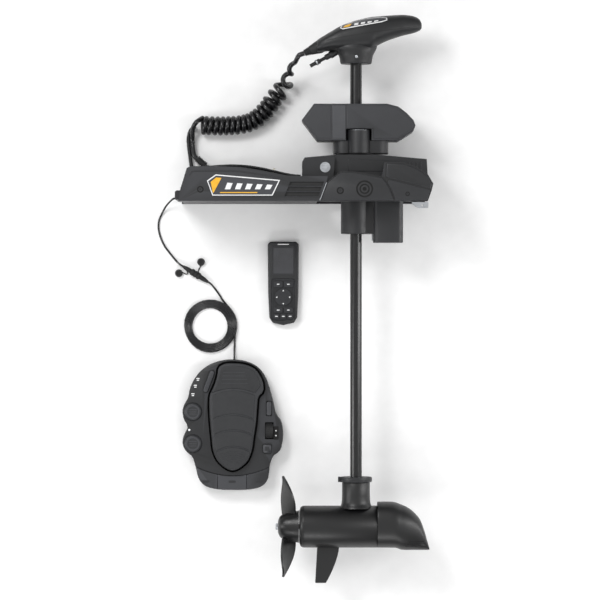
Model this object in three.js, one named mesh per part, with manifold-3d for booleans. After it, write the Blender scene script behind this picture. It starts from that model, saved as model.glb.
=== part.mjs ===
// A bow-mount electric trolling motor with its foot pedal and its hand remote, in millimetres, +Z up.
// The motor lies on its side: +X points to the bow, +Y to the control head, and it lies on z = 0.
// In design coordinates x = 0 is the shaft's axis and y = 0 is the deck face under the base.
import * as THREE from "three";
import { mergeVertices } from "three/addons/utils/BufferGeometryUtils.js";
import Module from "manifold-3d";

const wasm = await Module();
wasm.setup();

// ---- Driving dimensions ----
const GAP = 0.3; // between pieces that touch
const RUN = 0.5; // between pieces that turn or slide in each other

const BASE_HALF = 129; // half the base's width, and the height of the shaft's axis above the floor
const BASE_AFT = -430;
const FORK_AFT = -96; // the floor of the base ends here, and its two arms go on to the bow
const FLOOR_T = 6;
const RAIL_IN = 92;
const RAIL_T = 6;
const RAIL_H = 45;
const COVER_T = 4;
const BOW_X = 171;
const EAR_T = 10;

const PIVOT = { x: -76, y: 83.5 };
const PIVOT_R = 6;
const PIVOT_HEAD_R = 9.8;

const CARRIAGE_HALF = 62;
const CARRIAGE_WALL = 7;
const CARRIAGE_FLOOR = 8;
const CARRIAGE_TOP = 114.5;
const EAR_IN = CARRIAGE_HALF + 4; // the ears stand beside the carriage
const CAP_IN = CARRIAGE_HALF + 10; // the bow cradle's inner face clears the carriage
const HOUSING_R = 37;
const HOUSING_BOTTOM = -77;
const GEARCASE_BOTTOM = -98.5;
const GEARCASE_FLOOR = 5;
const GEARCASE_HALF = 38;
const WEB_HALF = 29; // the web joins the tower to the gear case
const STEER_MOTOR_R = 20;

const SHAFT_R = 14.3;
const SHAFT_WALL = 3;
const STEER_TUBE_WALL = 9.2;
const STEER_TUBE_R = SHAFT_R + RUN + STEER_TUBE_WALL;
const STEER_MODULE = 2;
const GEAR_TEETH = 44;
const PINION_TEETH = 14;
const GEAR_BACKLASH = 0.4; // added to the distance between the gears' axes
const GEAR_Y = 60;
const GEAR_T = 12;

const COLLAR_X = 11.4; // the middle of the turning collar, which is wider to the bow
const COLLAR_HALF_X = 67;
const COLLAR_HALF_Z = 48;
const COLLAR_CORNER = 26;
const COLLAR_NECK_R = 46;
const COLLAR_H = 33.9;
const TRIM_BOTTOM = CARRIAGE_TOP + COLLAR_H + 3 * GAP;
const BOSS_R = 27.7; // a boss on the collar that stands in a notch of the near case
const BOSS_X = 6;
const BOSS_Z = 41;
const BOSS_TOP = TRIM_BOTTOM + 25;
const TRIM_HALF = 52;
const TRIM_WALL = 5;
const NOTCH_GAP = 3;
const ROLLER_R = 20;
const ROLLER_HALF = 18;
const ROLLER_AXLE_R = 4;
const ROLLER_Y = TRIM_BOTTOM + 44.7;
const TRIM_MOTOR_R = 20;
const TRIM_MOTOR_LENGTH = 52;

const HEAD_HALF = 48;
const HEAD_WALL = 4;
const BOARD_T = 1.6;
const HEAD_COLLAR_R = 41;
const HEAD_COLLAR_Y = 339;
const HEAD_Y = HEAD_COLLAR_Y + 30; // the head's underside
const SHAFT_TOP = HEAD_COLLAR_Y + 13;

const POD_Y = -793; // this sets the shaft's length
const POD_R = 51.3;
const POD_WALL = 4.5;
const POD_AFT = -139;
const POD_FRONT = 53;
const NECK_R = 34;
const NECK_TOP = POD_Y + POD_R + 57.7;
const SHAFT_BOTTOM = POD_Y + POD_R + 6.7;
const CLAMP_H = 13;
const NOSE_HALF = POD_R + 1.7;
const ROTOR_R = 37;
const ROTOR_SHAFT_R = 6.5;
const SKEG_T = 7;
const SKEG_DROP = 86.7; // below the pod's tube

const PROP_R = 125;
const PROP_HUB_R = 40;
const PROP_AFT = -191;
const BLADE_T = 5;
const BLADE_PITCH = 24; // degrees between a blade and the plane of the disc
const BLADE_COUNT = 2;

const PEDAL_PLATE_T = 4;
const PEDAL_TOP = 40;
const TREADLE_LOW = PEDAL_TOP - 10;
const TREADLE_TOP = PEDAL_TOP + 16;
const TREADLE_GAP = 5;
const BUTTON_POCKET = PEDAL_TOP - 10;
const BUTTON_LOW = BUTTON_POCKET + 4;
const BUTTON_TOP = PEDAL_TOP + 5;
const BUTTON_GAP = 0.8;
const ROUND_BUTTON_R = 22;
const WHEEL_R = 19;
const WHEEL_T = 19;
const WHEEL_Z = PEDAL_TOP - 8;

const REMOTE_T = 22;
const KEYPAD_DEPTH = 4;
const KEY_RISE = 1.6;

const CURLY_R = 6.1;
const CURLY_COIL_R = 24.3;
const DECK_CABLE_R = 5;
const PEDAL_CORD_R = 2.5;
const CORD_LIFT = 0.1; // how far the cords lie above the surface
const CORD_EXIT = 84; // from the middle of the base to where the pedal's cord leaves the end cap

// ---- Materials ----
const finish = (color, roughness, metalness = 0) =>
  new THREE.MeshStandardMaterial({ color, roughness, metalness });
const coverPlastic = finish(0x1b1c1e, 0.55);
const darkPlastic = finish(0x141416, 0.6);
const trimPlastic = finish(0x232427, 0.6);
const castPaint = finish(0x151618, 0.42, 0.2);
const deckAluminium = finish(0x2a2b2d, 0.45, 0.8);
const steel = finish(0xb9bcc0, 0.3, 1);
const composite = finish(0x0f1012, 0.4);
const nylon = finish(0xd8d5c8, 0.5);
const copper = finish(0x9c5a34, 0.4, 0.9);
const magnet = finish(0x3a3a3d, 0.5, 0.6);
const board = finish(0x1d5b35, 0.6);
const cordRubber = finish(0x101011, 0.7);
const softRubber = finish(0x1a1a1b, 0.85);

// ---- Geometry helpers ----
const root = new THREE.Group();

function solidOf(geometry) {
  const bare = new THREE.BufferGeometry();
  bare.setAttribute("position", geometry.getAttribute("position").clone());
  if (geometry.index) bare.setIndex(geometry.index.clone());
  const merged = mergeVertices(bare, 1e-3);
  return new wasm.Manifold(
    new wasm.Mesh({
      numProp: 3,
      vertProperties: new Float32Array(merged.attributes.position.array),
      triVerts: new Uint32Array(merged.index.array),
    }),
  );
}

function geometryOf(solid) {
  const mesh = solid.getMesh();
  const geometry = new THREE.BufferGeometry();
  geometry.setAttribute("position", new THREE.BufferAttribute(mesh.vertProperties, 3));
  geometry.setIndex(new THREE.BufferAttribute(mesh.triVerts, 1));
  return geometry;
}

function combine(operation, first, others) {
  let result = solidOf(first);
  for (const other of others) result = result[operation](solidOf(other));
  return geometryOf(result);
}
const cut = (first, ...others) => combine("subtract", first, others);
const join = (first, ...others) => combine("add", first, others);
const common = (first, ...others) => combine("intersect", first, others);

// An outline of [x, y] corners, extruded from z0 to z1.
function slab(corners, z0, z1, bevel = 0) {
  const shape = new THREE.Shape(corners.map(([x, y]) => new THREE.Vector2(x, y)));
  const geometry = new THREE.ExtrudeGeometry(shape, {
    depth: z1 - z0 - 2 * bevel,
    bevelEnabled: bevel > 0,
    bevelThickness: bevel,
    bevelSize: bevel,
    bevelOffset: -bevel,
    bevelSegments: 2,
    curveSegments: 6,
  });
  return geometry.translate(0, 0, z0 + bevel);
}

// An outline of [x, z] corners, extruded from y0 to y1.
function planSlab(corners, y0, y1) {
  const flipped = corners.map(([x, z]) => [x, -z]);
  return slab(flipped, y0, y1).rotateX(-Math.PI / 2);
}

const block = (x0, x1, y0, y1, z0, z1) =>
  new THREE.BoxGeometry(x1 - x0, y1 - y0, z1 - z0).translate((x0 + x1) / 2, (y0 + y1) / 2, (z0 + z1) / 2);

// A solid of revolution about Y: the profile's [radius, height] points start and end on the axis, or close.
function revolve(profile, segments = 32) {
  const ends = [profile[0], profile[profile.length - 1]];
  const closed = ends.every(([radius]) => radius === 0) ? profile : [...profile, profile[0]];
  let area = 0;
  closed.forEach(([r, h], i) => {
    const [nextR, nextH] = closed[(i + 1) % closed.length];
    area += r * nextH - nextR * h;
  });
  const ordered = area < 0 ? [...closed].reverse() : closed;
  return new THREE.LatheGeometry(ordered.map(([r, h]) => new THREE.Vector2(r, h)), segments);
}

const ringProfile = (inner, outer, h0, h1) => [
  [inner, h0],
  [outer, h0],
  [outer, h1],
  [inner, h1],
];
const rodProfile = (radius, h0, h1) => [
  [0, h0],
  [radius, h0],
  [radius, h1],
  [0, h1],
];
const alongX = (geometry) => geometry.rotateZ(-Math.PI / 2);
const alongZ = (geometry) => geometry.rotateX(Math.PI / 2);

// A rounded rectangle's corners, for slab and planSlab.
function roundedRect(x0, x1, y0, y1, radius, steps = 3) {
  const corners = [];
  const centres = [
    [x1 - radius, y1 - radius, 0],
    [x0 + radius, y1 - radius, 90],
    [x0 + radius, y0 + radius, 180],
    [x1 - radius, y0 + radius, 270],
  ];
  for (const [cx, cy, start] of centres) {
    for (let i = 0; i <= steps; i++) {
      const angle = ((start + (90 * i) / steps) * Math.PI) / 180;
      corners.push([cx + radius * Math.cos(angle), cy + radius * Math.sin(angle)]);
    }
  }
  return corners;
}

// The outline moved inwards by a distance, for corners listed either way round.
function inset(corners, distance) {
  let area = 0;
  corners.forEach(([x, y], i) => {
    const [nx, ny] = corners[(i + 1) % corners.length];
    area += x * ny - nx * y;
  });
  const side = area > 0 ? 1 : -1;
  const normal = (a, b) => {
    const length = Math.hypot(b[0] - a[0], b[1] - a[1]);
    return [(-side * (b[1] - a[1])) / length, (side * (b[0] - a[0])) / length];
  };
  return corners.map((corner, i) => {
    const before = corners[(i + corners.length - 1) % corners.length];
    const after = corners[(i + 1) % corners.length];
    const n0 = normal(before, corner);
    const n1 = normal(corner, after);
    const share = distance / (1 + n0[0] * n1[0] + n0[1] * n1[1]);
    return [corner[0] + (n0[0] + n1[0]) * share, corner[1] + (n0[1] + n1[1]) * share];
  });
}

// A round tube along a smooth curve through the points.
function cordTube(points, radius, sides, steps) {
  const section = new THREE.Shape(
    Array.from({ length: sides }, (_, i) => {
      const angle = (2 * Math.PI * i) / sides;
      return new THREE.Vector2(radius * Math.cos(angle), radius * Math.sin(angle));
    }),
  );
  const path = new THREE.CatmullRomCurve3(points.map((p) => new THREE.Vector3(...p)), false, "centripetal");
  return new THREE.ExtrudeGeometry(section, { steps, extrudePath: path, bevelEnabled: false });
}

function part(name, geometry, material) {
  const mesh = new THREE.Mesh(geometry, material);
  mesh.name = name;
  root.add(mesh);
}

// The two sides of the base: z measured outwards from the middle, towards the near and the far side.
const SIDES = [
  ["near", 1],
  ["far", -1],
];
function sideSlab(corners, from, to, side, bevel = 0) {
  const z0 = BASE_HALF + side * from;
  const z1 = BASE_HALF + side * to;
  return slab(corners, Math.min(z0, z1), Math.max(z0, z1), bevel);
}
const midSlab = (corners, half, bevel = 0) => slab(corners, BASE_HALF - half, BASE_HALF + half, bevel);
const onShaft = (geometry) => geometry.translate(0, 0, BASE_HALF);

// The hole that the tilt bolt passes through, right across the base.
const pivotBore = () =>
  alongZ(revolve(rodProfile(PIVOT_R + RUN, 0, 2 * BASE_HALF), 24)).translate(PIVOT.x, PIVOT.y, 0);

// ---- Base ----
function deckFrame() {
  const railTop = FLOOR_T + RAIL_H;
  const rail = [
    [BASE_AFT + 6, 0],
    [BOW_X - 6, 0],
    [BOW_X - 6, 20],
    [96, 20],
    [80, 26],
    [-60, railTop - 6],
    [-150, railTop],
    [BASE_AFT + 20, railTop],
  ];
  const ear = [
    [-132, 1],
    [-99, 1],
    [-57, 40],
    [-52, 104],
    [-60, 113],
    [-126, 107],
    [-132, 96],
  ];
  const floor = block(BASE_AFT + 6, FORK_AFT, 0, FLOOR_T, BASE_HALF - RAIL_IN - 1, BASE_HALF + RAIL_IN + 1);
  const pieces = [];
  for (const [, side] of SIDES) {
    pieces.push(sideSlab(rail, RAIL_IN, RAIL_IN + RAIL_T, side));
    pieces.push(sideSlab(ear, EAR_IN, EAR_IN + EAR_T, side));
  }
  part("deck_frame", cut(join(floor, ...pieces), pivotBore()), deckAluminium);
}

const coverInner = RAIL_IN + RAIL_T + GAP;
const coverOutline = [
  [BASE_AFT, 0],
  [BASE_AFT + 4, 26],
  [-410, 79],
  [-402, 84],
  [-355, 84],
  [-280, 82],
  [-230, 74],
  [-168, 61.5],
  [-131, 60],
  [-70, 60],
  [-73, 45],
  [-89.5, 0],
];
const bowOutline = [
  [-88.5, 0],
  [-72, 45],
  [-66, 51],
  [-39, 71.5],
  [-7, 71.5],
  [60, 59],
  [67, 93],
  [112.5, 93],
  [144, 82],
  [BOW_X, 64],
  [BOW_X + 13, 42],
  [BOW_X + 9, 25],
  [BOW_X, 0],
];
// The cradle half of a bow cover, which reaches inwards above the rail.
const cradleOutline = [
  [72, 52],
  [72, 88],
  [112, 88],
  [142, 77],
  [BOW_X - 5, 60],
  [BOW_X + 8, 42],
  [BOW_X + 5, 30],
];

function baseCovers() {
  for (const [name, side] of SIDES) {
    const pocket = sideSlab(inset(coverOutline, COVER_T), coverInner - 1, BASE_HALF - COVER_T, side);
    const slots = [0, 1, 2].map((row) => {
      const low = 12 + 12.6 * row;
      const lean = 3.6;
      const shift = 5 * row;
      return sideSlab(
        [
          [-174 + shift, low],
          [-93 + shift, low],
          [-93 + shift + lean, low + 9],
          [-174 + shift + lean, low + 9],
        ],
        BASE_HALF - COVER_T - 1,
        BASE_HALF + 1,
        side,
      );
    });
    const screwHole = alongZ(revolve(rodProfile(5, 0, 2 * BASE_HALF), 16)).translate(-377, 28, 0);
    const around = roundedRect(-400, -350, 10, 46, 5);
    const onlySide = sideSlab(around, BASE_HALF - COVER_T - 1, BASE_HALF + 1, side);
    const cover = sideSlab(coverOutline, coverInner, BASE_HALF, side);
    part("side_cover_" + name, cut(cover, pocket, ...slots, common(screwHole, onlySide)), coverPlastic);

    const bowPocket = sideSlab(inset(bowOutline, COVER_T), coverInner - 1, BASE_HALF - COVER_T, side);
    const bowShell = cut(sideSlab(bowOutline, coverInner, BASE_HALF, side), bowPocket);
    const cradle = sideSlab(cradleOutline, CAP_IN, BASE_HALF - COVER_T / 2, side);
    part("bow_cover_" + name, join(bowShell, cradle), coverPlastic);
  }
}

function aftEndCap() {
  const half = RAIL_IN - 2;
  const plate = midSlab(
    [
      [BASE_AFT - 10, 6],
      [BASE_AFT - 10, 24],
      [BASE_AFT - 6, 27],
      [BASE_AFT + 6 - GAP, 27],
      [BASE_AFT + 6 - GAP, 4],
      [BASE_AFT - 8, 4],
    ],
    half,
  );
  part("aft_end_cap", plate, darkPlastic);
}

function bowBracket() {
  const top = -2.5;
  const outline = [
    [133, top],
    [133, -6],
    [142, -13],
    [151, -17],
    [BOW_X + 1, -16],
    [BOW_X + 2, top],
  ];
  const hole = alongZ(revolve(rodProfile(2.6, 0, 2 * BASE_HALF), 16)).translate(158, -10, 0);
  part("bow_bracket", cut(sideSlab(outline, RAIL_IN, RAIL_IN + 30, 1), hole), steel);
}

function tiltBolt() {
  const head = CARRIAGE_HALF + EAR_T + (EAR_IN - CARRIAGE_HALF) + GAP;
  const profile = [
    [0, -head - 4],
    [PIVOT_HEAD_R, -head - 4],
    [PIVOT_HEAD_R, -head],
    [PIVOT_R, -head],
    [PIVOT_R, head],
    [PIVOT_HEAD_R, head],
    [PIVOT_HEAD_R, head + 5],
    [0, head + 5],
  ];
  part("tilt_bolt", alongZ(revolve(profile, 24)).translate(PIVOT.x, PIVOT.y, BASE_HALF), steel);
}

// ---- Carriage and steering ----
const pitchRadius = (teeth) => (STEER_MODULE * teeth) / 2;
const pinionX = pitchRadius(GEAR_TEETH) + pitchRadius(PINION_TEETH) + GEAR_BACKLASH;
const TUBE_BORE_R = STEER_TUBE_R + 2;
const MOTOR_BORE_R = STEER_MOTOR_R + 1;
const onPinion = (geometry) => geometry.translate(pinionX, 0, BASE_HALF);

// A spur gear's outline in the XZ plane, with a tooth or a gap centred on +X.
function gearOutline(teeth, toothOnX) {
  const pitch = pitchRadius(teeth);
  const step = (2 * Math.PI) / teeth;
  const start = toothOnX ? 0 : step / 2;
  const corners = [];
  for (let i = 0; i < teeth; i++) {
    const middle = start + i * step;
    const flank = [
      [-0.3, pitch - 1.2 * STEER_MODULE],
      [-0.12, pitch + 0.75 * STEER_MODULE],
      [0.12, pitch + 0.75 * STEER_MODULE],
      [0.3, pitch - 1.2 * STEER_MODULE],
    ];
    for (const [share, radius] of flank) {
      const angle = middle + share * step;
      corners.push([radius * Math.cos(angle), radius * Math.sin(angle)]);
    }
  }
  return corners;
}

function carriage() {
  const outline = [
    [-116, 66],
    [-118, 72],
    [-118, CARRIAGE_TOP - 12.5],
    [-112, CARRIAGE_TOP - 7.5],
    [-49, CARRIAGE_TOP],
    [49, CARRIAGE_TOP],
    [BOW_X, CARRIAGE_TOP - 10.5],
    [BOW_X + 2, 65],
    [150, 38],
    [118, CARRIAGE_FLOOR],
    [-40, CARRIAGE_FLOOR],
    [-62, 40],
    [-90, 62],
  ];
  const inside = midSlab(inset(outline, CARRIAGE_WALL), CARRIAGE_HALF - CARRIAGE_WALL);
  const tubeBore = onShaft(revolve(rodProfile(TUBE_BORE_R, 0, CARRIAGE_TOP + 5)));
  const motorBore = onPinion(revolve(rodProfile(MOTOR_BORE_R, 0, CARRIAGE_FLOOR + 22)));
  const frame = midSlab(outline, CARRIAGE_HALF);
  part("carriage_frame", cut(frame, inside, tubeBore, motorBore, pivotBore()), darkPlastic);
}

function steeringHousing() {
  const top = CARRIAGE_FLOOR - GAP;
  const tower = onShaft(revolve(rodProfile(HOUSING_R, HOUSING_BOTTOM, top)));
  const right = pinionX + STEER_MOTOR_R + 36;
  const gearcase = planSlab(
    roundedRect(HOUSING_R + 5, right, BASE_HALF - GEARCASE_HALF, BASE_HALF + GEARCASE_HALF, 12),
    GEARCASE_BOTTOM,
    top,
  );
  const web = block(20, HOUSING_R + 14, HOUSING_BOTTOM, top, BASE_HALF - WEB_HALF, BASE_HALF + WEB_HALF);
  const tubeBore = onShaft(revolve(rodProfile(TUBE_BORE_R, HOUSING_BOTTOM - 1, top + 1)));
  const motorBore = onPinion(revolve(rodProfile(MOTOR_BORE_R, GEARCASE_BOTTOM + GEARCASE_FLOOR, top + 1)));
  part("steering_housing", cut(join(tower, gearcase, web), tubeBore, motorBore), darkPlastic);
}

function steeringDrive() {
  const motorTop = GEAR_Y - 4;
  const motorFoot = GEARCASE_BOTTOM + GEARCASE_FLOOR + GAP;
  part("steering_motor", onPinion(revolve(rodProfile(STEER_MOTOR_R, motorFoot, motorTop))), steel);
  const pinion = planSlab(gearOutline(PINION_TEETH, false), GEAR_Y, GEAR_Y + GEAR_T);
  part("steering_pinion", onPinion(pinion), steel);
  const wheel = onShaft(planSlab(gearOutline(GEAR_TEETH, true), GEAR_Y, GEAR_Y + GEAR_T));
  const tube = onShaft(revolve(rodProfile(STEER_TUBE_R, HOUSING_BOTTOM + 2, CARRIAGE_TOP + GAP)));
  const bore = onShaft(revolve(rodProfile(SHAFT_R + RUN, HOUSING_BOTTOM, CARRIAGE_TOP + 2)));
  part("steering_gear", cut(join(tube, wheel), bore), nylon);
}

// ---- Trim module ----
function turnCollar() {
  const foot = CARRIAGE_TOP + 2 * GAP;
  const step = foot + 4;
  const top = TRIM_BOTTOM - GAP;
  const neck = onShaft(revolve(rodProfile(COLLAR_NECK_R, foot, step + 1), 40));
  const left = COLLAR_X - COLLAR_HALF_X;
  const right = COLLAR_X + COLLAR_HALF_X;
  const body = planSlab(
    roundedRect(left, right, BASE_HALF - COLLAR_HALF_Z, BASE_HALF + COLLAR_HALF_Z, COLLAR_CORNER, 6),
    step,
    top,
  );
  const boss = revolve(rodProfile(BOSS_R, step, BOSS_TOP), 40).translate(BOSS_X, 0, BASE_HALF + BOSS_Z);
  const bore = onShaft(revolve(rodProfile(SHAFT_R + RUN, foot - 1, BOSS_TOP + 1)));
  part("turn_collar", cut(join(body, neck, boss), bore), darkPlastic);
}

const trimOutline = [
  [-133, TRIM_BOTTOM + 49.7],
  [-103, TRIM_BOTTOM + 89.7],
  [75, TRIM_BOTTOM + 89.7],
  [102, TRIM_BOTTOM + 82.7],
  [123, TRIM_BOTTOM + 66.7],
  [139, TRIM_BOTTOM + 49.7],
  [144, TRIM_BOTTOM + 36.7],
  [139, TRIM_BOTTOM + 23.2],
  [115, TRIM_BOTTOM + 7.7],
  [102, TRIM_BOTTOM],
  [-95, TRIM_BOTTOM],
];

function trimModule() {
  for (const [name, side] of SIDES) {
    const shell = sideSlab(trimOutline, GAP / 2, TRIM_HALF, side);
    const inside = sideSlab(inset(trimOutline, TRIM_WALL), -1, TRIM_HALF - TRIM_WALL, side);
    const bore = onShaft(revolve(rodProfile(SHAFT_R + RUN, TRIM_BOTTOM - 1, TRIM_BOTTOM + 92)));
    const notch = block(
      BOSS_X - BOSS_R - NOTCH_GAP,
      BOSS_X + BOSS_R + NOTCH_GAP,
      TRIM_BOTTOM - 1,
      BOSS_TOP + NOTCH_GAP,
      BASE_HALF + BOSS_Z - BOSS_R - NOTCH_GAP,
      BASE_HALF + TRIM_HALF + 1,
    );
    const openings = side > 0 ? [inside, bore, notch] : [inside, bore];
    part("trim_case_" + name, cut(shell, ...openings), trimPlastic);
  }
  for (const [name, side] of [
    ["bow", 1],
    ["aft", -1],
  ]) {
    const half = TRIM_HALF - TRIM_WALL - GAP;
    const profile = [
      [0, -half],
      [ROLLER_AXLE_R, -half],
      [ROLLER_AXLE_R, -ROLLER_HALF],
      [ROLLER_R, -ROLLER_HALF],
      [ROLLER_R, ROLLER_HALF],
      [ROLLER_AXLE_R, ROLLER_HALF],
      [ROLLER_AXLE_R, half],
      [0, half],
    ];
    const place = side * (SHAFT_R + ROLLER_R + GAP);
    const roller = alongZ(revolve(profile, 24));
    part("trim_roller_" + name, roller.translate(place, ROLLER_Y, BASE_HALF), softRubber);
  }
  const aft = SHAFT_R + 2 * ROLLER_R + 5.7;
  const motor = alongX(revolve(rodProfile(TRIM_MOTOR_R, aft, aft + TRIM_MOTOR_LENGTH), 24));
  part("trim_motor", motor.translate(0, ROLLER_Y - 3, BASE_HALF), steel);
}

// ---- Shaft and control head ----
function shaft() {
  const profile = ringProfile(SHAFT_R - SHAFT_WALL, SHAFT_R, SHAFT_BOTTOM, SHAFT_TOP);
  part("shaft_tube", onShaft(revolve(profile, 28)), composite);
}

const headTop = [
  [-95, HEAD_Y + 28],
  [-42, HEAD_Y + 61],
  [-2.5, HEAD_Y + 76],
  [37.5, HEAD_Y + 85],
  [77, HEAD_Y + 88],
  [115, HEAD_Y + 90],
  [144, HEAD_Y + 86.5],
  [158, HEAD_Y + 76],
  [161, HEAD_Y + 61],
];
const headUnderside = [
  [154, HEAD_Y + 49],
  [117, HEAD_Y + 40],
  [77, HEAD_Y + 27],
  [51, HEAD_Y + 13],
  [37.5, HEAD_Y],
  [-58, HEAD_Y],
  [-63, HEAD_Y + 4],
  [-82, HEAD_Y - 3],
];
const headSplit = [
  [-93, HEAD_Y + 23],
  [-40, HEAD_Y + 33],
  [40, HEAD_Y + 49],
  [158, HEAD_Y + 61],
];

// Half of the head seen from above, from the aft end to the nose.
function headPlan(shrink) {
  const halves = [
    [-98, 24],
    [-80, 36],
    [-40, 46],
    [10, HEAD_HALF],
    [60, 44],
    [110, 33],
    [150, 20],
    [163, 12],
  ];
  const near = halves.map(([x, z]) => [x, BASE_HALF + z - shrink]);
  const far = halves.map(([x, z]) => [x, BASE_HALF - z + shrink]).reverse();
  return [...near, ...far];
}

function controlHead() {
  const under = HEAD_Y - 70;
  const over = HEAD_Y + 130;
  const [splitAft, splitBow] = [headSplit[0][1], headSplit[headSplit.length - 1][1]];
  const outline = [...headTop, ...headUnderside];
  const plan = planSlab(headPlan(0), under, over);
  const whole = common(midSlab(outline, HEAD_HALF + 1), plan);
  const hollow = common(
    midSlab(inset(outline, HEAD_WALL), HEAD_HALF),
    planSlab(headPlan(HEAD_WALL), under, over),
  );
  const above = midSlab(
    [...headSplit, [200, splitBow], [200, over], [-120, over], [-120, splitAft]],
    HEAD_HALF + 5,
  );
  const lowered = headSplit.map(([x, y]) => [x, y - GAP]);
  const below = midSlab(
    [...lowered, [200, splitBow - GAP], [200, under], [-120, under], [-120, splitAft - GAP]],
    HEAD_HALF + 5,
  );
  const seat = onShaft(revolve(rodProfile(SHAFT_R + GAP, HEAD_COLLAR_Y - 1, SHAFT_TOP + GAP), 28));
  const collar = onShaft(revolve(rodProfile(HEAD_COLLAR_R, HEAD_COLLAR_Y, HEAD_Y + HEAD_WALL), 32));
  part("head_upper", cut(common(whole, above), hollow), coverPlastic);
  part("head_lower", cut(join(cut(common(whole, below), hollow), collar), seat), coverPlastic);
  const boardSolid = block(-36, 84, HEAD_Y + 17, HEAD_Y + 17 + BOARD_T, BASE_HALF - 30, BASE_HALF + 30);
  const boardCut = common(boardSolid, midSlab(inset(outline, HEAD_WALL + 4), HEAD_HALF));
  part("head_board", boardCut, board);
}

const headAft = { x: -88.5, y: HEAD_Y + 12.5, angle: (202.8 * Math.PI) / 180 };
const BOOT_LENGTH = 41;

// Turns a solid that stands on the origin along +Y to leave the head's aft face.
function onHeadAft(geometry, x, y, angle) {
  return geometry.rotateZ(angle - Math.PI / 2).translate(x, y, BASE_HALF);
}

function headCordFittings() {
  const boot = revolve(
    [
      [0, GAP],
      [16.5, GAP],
      [15, 6],
      [10.5, 16],
      [8.2, 28],
      [7, BOOT_LENGTH],
      [0, BOOT_LENGTH],
    ],
    20,
  );
  part("head_boot", onHeadAft(boot, headAft.x, headAft.y, headAft.angle), softRubber);
  const plug = revolve(
    [
      [0, 0],
      [6.6, 0],
      [6.6, 15],
      [4.2, 17],
      [4.2, 30],
      [6.4, 32],
      [6.4, 42],
      [4.6, 44],
      [4.6, 58],
      [0, 58],
    ],
    16,
  );
  part("network_plug", onHeadAft(plug, -61, HEAD_Y - 7 - GAP, (208.5 * Math.PI) / 180), darkPlastic);
}

// ---- Motor pod ----
const podLathe = (profile, segments = 40) =>
  alongX(revolve(profile, segments)).translate(0, POD_Y, BASE_HALF);

function motorPod() {
  const inner = POD_R - POD_WALL;
  part("motor_shell", podLathe(ringProfile(inner, POD_R, POD_AFT + 11, POD_FRONT)), castPaint);
  const bell = [
    [ROTOR_SHAFT_R + RUN, POD_AFT],
    [PROP_HUB_R, POD_AFT],
    [POD_R - 3, POD_AFT + 4],
    [POD_R, POD_AFT + 11 - GAP],
    [ROTOR_SHAFT_R + RUN, POD_AFT + 11 - GAP],
  ];
  part("aft_bell", podLathe(bell), castPaint);
  part("stator_magnets", podLathe(ringProfile(ROTOR_R + 1.5, inner - GAP, -60, 12)), magnet);
  const armature = [
    [0, POD_AFT - 34],
    [ROTOR_SHAFT_R, POD_AFT - 34],
    [ROTOR_SHAFT_R, -60],
    [ROTOR_R, -60],
    [ROTOR_R, 10],
    [ROTOR_SHAFT_R, 10],
    [ROTOR_SHAFT_R, POD_FRONT - 6],
    [0, POD_FRONT - 6],
  ];
  part("armature", podLathe(armature, 24), copper);
}

const noseX = POD_FRONT + GAP;
const noseSide = [
  [noseX, POD_Y + POD_R + 10],
  [85, POD_Y + POD_R + 10],
  [110, POD_Y + POD_R + 2.7],
  [131, POD_Y + 44],
  [157, POD_Y + 18],
  [169, POD_Y - 17],
  [180, POD_Y - POD_R - 5.7],
  [108, POD_Y - POD_R - 5.7],
  [99.5, POD_Y - POD_R],
  [noseX, POD_Y - POD_R],
];
const noseHalves = [
  [noseX, NOSE_HALF],
  [90, NOSE_HALF],
  [120, 46],
  [150, 33],
  [180, 18],
];

function noseCasting() {
  const near = noseHalves.map(([x, z]) => [x, BASE_HALF + z]);
  const far = noseHalves.map(([x, z]) => [x, BASE_HALF - z]).reverse();
  const plan = planSlab([...near, ...far], POD_Y - 2 * POD_R, POD_Y + 2 * POD_R);
  const bearing = podLathe(rodProfile(ROTOR_SHAFT_R + 8, noseX - 1, noseX + 20), 24);
  part("nose_casting", cut(common(midSlab(noseSide, NOSE_HALF, 9), plan), bearing), castPaint);
}

function podFittings() {
  const tubeCut = podLathe(rodProfile(POD_R + GAP, POD_AFT - 20, POD_FRONT + 20));
  const neck = onShaft(
    revolve([
      [0, POD_Y],
      [NECK_R + 14, POD_Y],
      [NECK_R + 14, POD_Y + POD_R - 4],
      [NECK_R + 6, POD_Y + POD_R + 4],
      [NECK_R + 1, POD_Y + POD_R + 16],
      [NECK_R, NECK_TOP],
      [0, NECK_TOP],
    ]),
  );
  const seat = onShaft(revolve(rodProfile(SHAFT_R + GAP, SHAFT_BOTTOM - GAP, NECK_TOP + 1), 28));
  part("neck_casting", cut(neck, tubeCut, seat), castPaint);
  const clampRing = onShaft(
    revolve(ringProfile(SHAFT_R + GAP, NECK_R + 4, NECK_TOP + GAP, NECK_TOP + CLAMP_H), 28),
  );
  const tab = block(-NECK_R - 10, -NECK_R, NECK_TOP + GAP, NECK_TOP + CLAMP_H, BASE_HALF - 8, BASE_HALF + 8);
  part("clamp_collar", join(clampRing, tab), darkPlastic);
  const skeg = midSlab(
    [
      [-95, POD_Y - 20],
      [-41, POD_Y - 20],
      [-41, POD_Y - POD_R - 2],
      [-52, POD_Y - POD_R - 30.7],
      [-73.5, POD_Y - POD_R - SKEG_DROP],
      [-100, POD_Y - POD_R - SKEG_DROP],
    ],
    SKEG_T / 2,
    2,
  );
  const below = block(-110, 0, POD_Y - POD_R - SKEG_DROP - 20, POD_Y - 25, BASE_HALF - 30, BASE_HALF + 30);
  part("skeg", cut(common(skeg, below), tubeCut), castPaint);
}

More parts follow.
